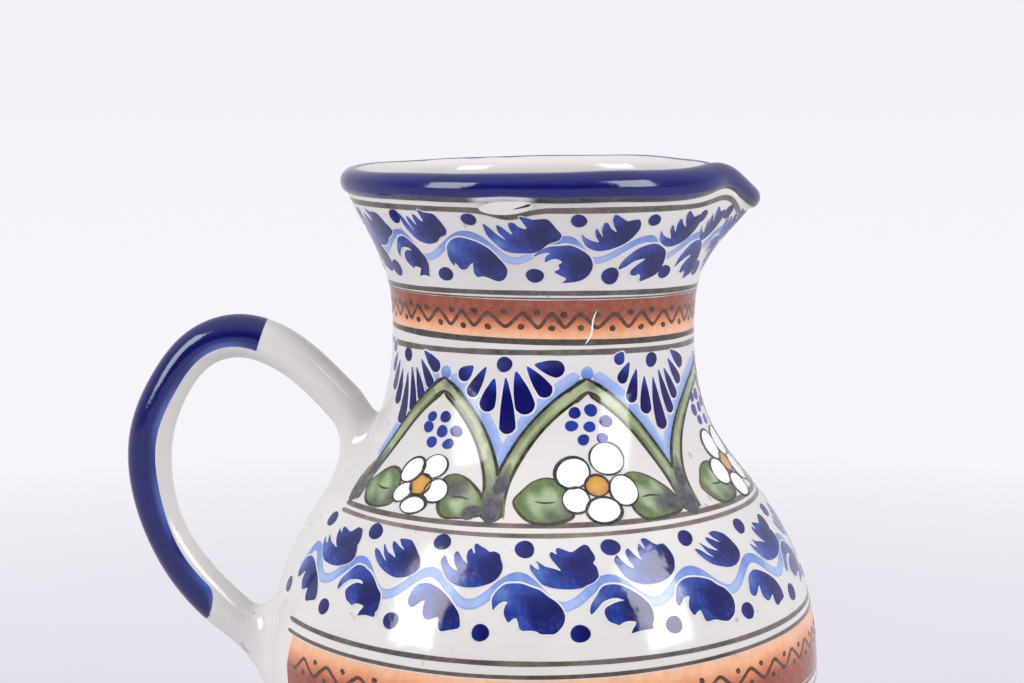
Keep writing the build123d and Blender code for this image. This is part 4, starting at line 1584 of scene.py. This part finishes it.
def make_world():
    """An even pale room. It shines brighter at the sides and the back than from where the camera stands."""
    world = bpy.data.worlds.new("studio")
    bpy.context.scene.world = world
    world.use_nodes = True
    nodes, links = world.node_tree.nodes, world.node_tree.links
    seen = nodes["Background"]
    seen.inputs["Color"].default_value = (*BACKDROP, 1)
    room = nodes.new("ShaderNodeBackground")
    place = nodes.new("ShaderNodeTexCoord")
    split = nodes.new("ShaderNodeSeparateXYZ")
    links.new(place.outputs["Generated"], split.inputs["Vector"])
    backward = remap(nodes, links, split.outputs["Y"], -0.75, 0.35, 0.0, 1.0)
    upward = remap(nodes, links, split.outputs["Z"], 0.35, 1.0, 0.0, 1.0)
    colour = blend_colour(nodes, links, backward, ROOM_FRONT, ROOM_BACK)
    links.new(blend_colour(nodes, links, upward, colour, ROOM_TOP), room.inputs["Color"])
    room.inputs["Strength"].default_value = ROOM_STRENGTH
    path = nodes.new("ShaderNodeLightPath")
    pick = nodes.new("ShaderNodeMixShader")
    links.new(path.outputs["Is Camera Ray"], pick.inputs["Fac"])
    links.new(room.outputs[0], pick.inputs[1])
    links.new(seen.outputs[0], pick.inputs[2])
    links.new(pick.outputs[0], nodes["World Output"].inputs["Surface"])


def make_stage():
    """A plain pale floor that fades into the room."""
    material, nodes, links, shader = new_material("studio_floor")
    place = nodes.new("ShaderNodeTexCoord")
    flat = nodes.new("ShaderNodeVectorMath")
    flat.operation = "LENGTH"
    links.new(place.outputs["Object"], flat.inputs[0])
    tint = remap(nodes, links, noise(nodes, links, 3, 2), 0.3, 0.7, 0.0, 1.0)
    links.new(blend_colour(nodes, links, tint, *FLOOR_TONES), shader.inputs["Base Color"])
    shader.inputs["Roughness"].default_value = 0.9
    shader.inputs["Specular IOR Level"].default_value = 0.1
    glow = nodes.new("ShaderNodeEmission")
    far = remap(nodes, links, flat.outputs["Value"], 2.0, 14.0, 0.0, 1.0)
    links.new(blend_colour(nodes, links, far, FLOOR_GLOW, BACKDROP), glow.inputs["Color"])
    path = nodes.new("ShaderNodeLightPath")
    seen = path.outputs["Is Camera Ray"]
    links.new(remap(nodes, links, seen, 0.0, 1.0, 0.82, 1.0), glow.inputs["Strength"])
    pick = nodes.new("ShaderNodeMixShader")
    links.new(remap(nodes, links, flat.outputs["Value"], 0.1, 0.9, 0.05, 1.0), pick.inputs["Fac"])
    links.new(shader.outputs[0], pick.inputs[1])
    links.new(glow.outputs[0], pick.inputs[2])
    links.new(pick.outputs[0], nodes["Material Output"].inputs["Surface"])
    turn = np.radians(np.arange(96) * 3.75)
    circle = np.stack([np.cos(turn), np.sin(turn), 0 * turn], -1)
    rings = [r * circle for r in (0.2, 0.5, 1.5, 4.0, 12.0, 40.0)]
    points, faces = loft_rings(rings, poles=((0, 0, 0), None))
    mesh = bpy.data.meshes.new("studio_floor")
    mesh.from_pydata(points.tolist(), [], faces)
    mesh.materials.append(material)
    floor = bpy.data.objects.new("studio_floor", mesh)
    bpy.context.scene.collection.objects.link(floor)


def aim(thing, place, target):
    """Stands a lamp or a camera at a place and turns it to look at a target."""
    z = unit(np.array(place, float) - np.array(target, float))
    x = unit(np.cross([0, 0, 1.0], z))
    y = np.cross(z, x)
    thing.matrix_world = Matrix([*np.stack([x, y, z, place], -1).tolist(), (0, 0, 0, 1)])


def softbox(name, turn, power):
    """A lamp behind cloth, placed by its angle round the jug from the front."""
    lamp = bpy.data.lights.new(name, "AREA")
    lamp.shape = "RECTANGLE"
    lamp.size, lamp.size_y = SOFTBOX_SIZE
    lamp.energy = power
    lamp.color = SOFTBOX_TINT
    thing = bpy.data.objects.new(name, lamp)
    bpy.context.scene.collection.objects.link(thing)
    angle, up = math.radians(turn), math.radians(SOFTBOX_RISE)
    reach = SOFTBOX_DISTANCE * math.cos(up)
    height = JUG_MIDDLE[2] + SOFTBOX_DISTANCE * math.sin(up)
    aim(thing, (reach * math.sin(angle), -reach * math.cos(angle), height), JUG_MIDDLE)
    thing.visible_camera = False


def make_camera():
    """The camera, which looks a little down across the jug's upper part."""
    lens = bpy.data.cameras.new("camera")
    lens.sensor_width = 36.0
    lens.lens = CAMERA_LENS
    lens.clip_end = 200
    camera = bpy.data.objects.new("camera", lens)
    bpy.context.scene.collection.objects.link(camera)
    x, y, z = CAMERA_PLACE
    aim(camera, CAMERA_PLACE, (x, 0.0, z + y * math.tan(math.radians(CAMERA_DIP))))
    bpy.context.scene.camera = camera


make_world()
make_stage()
softbox("left_softbox", -56, 10.0)
softbox("right_softbox", 52, 10.5)
make_camera()
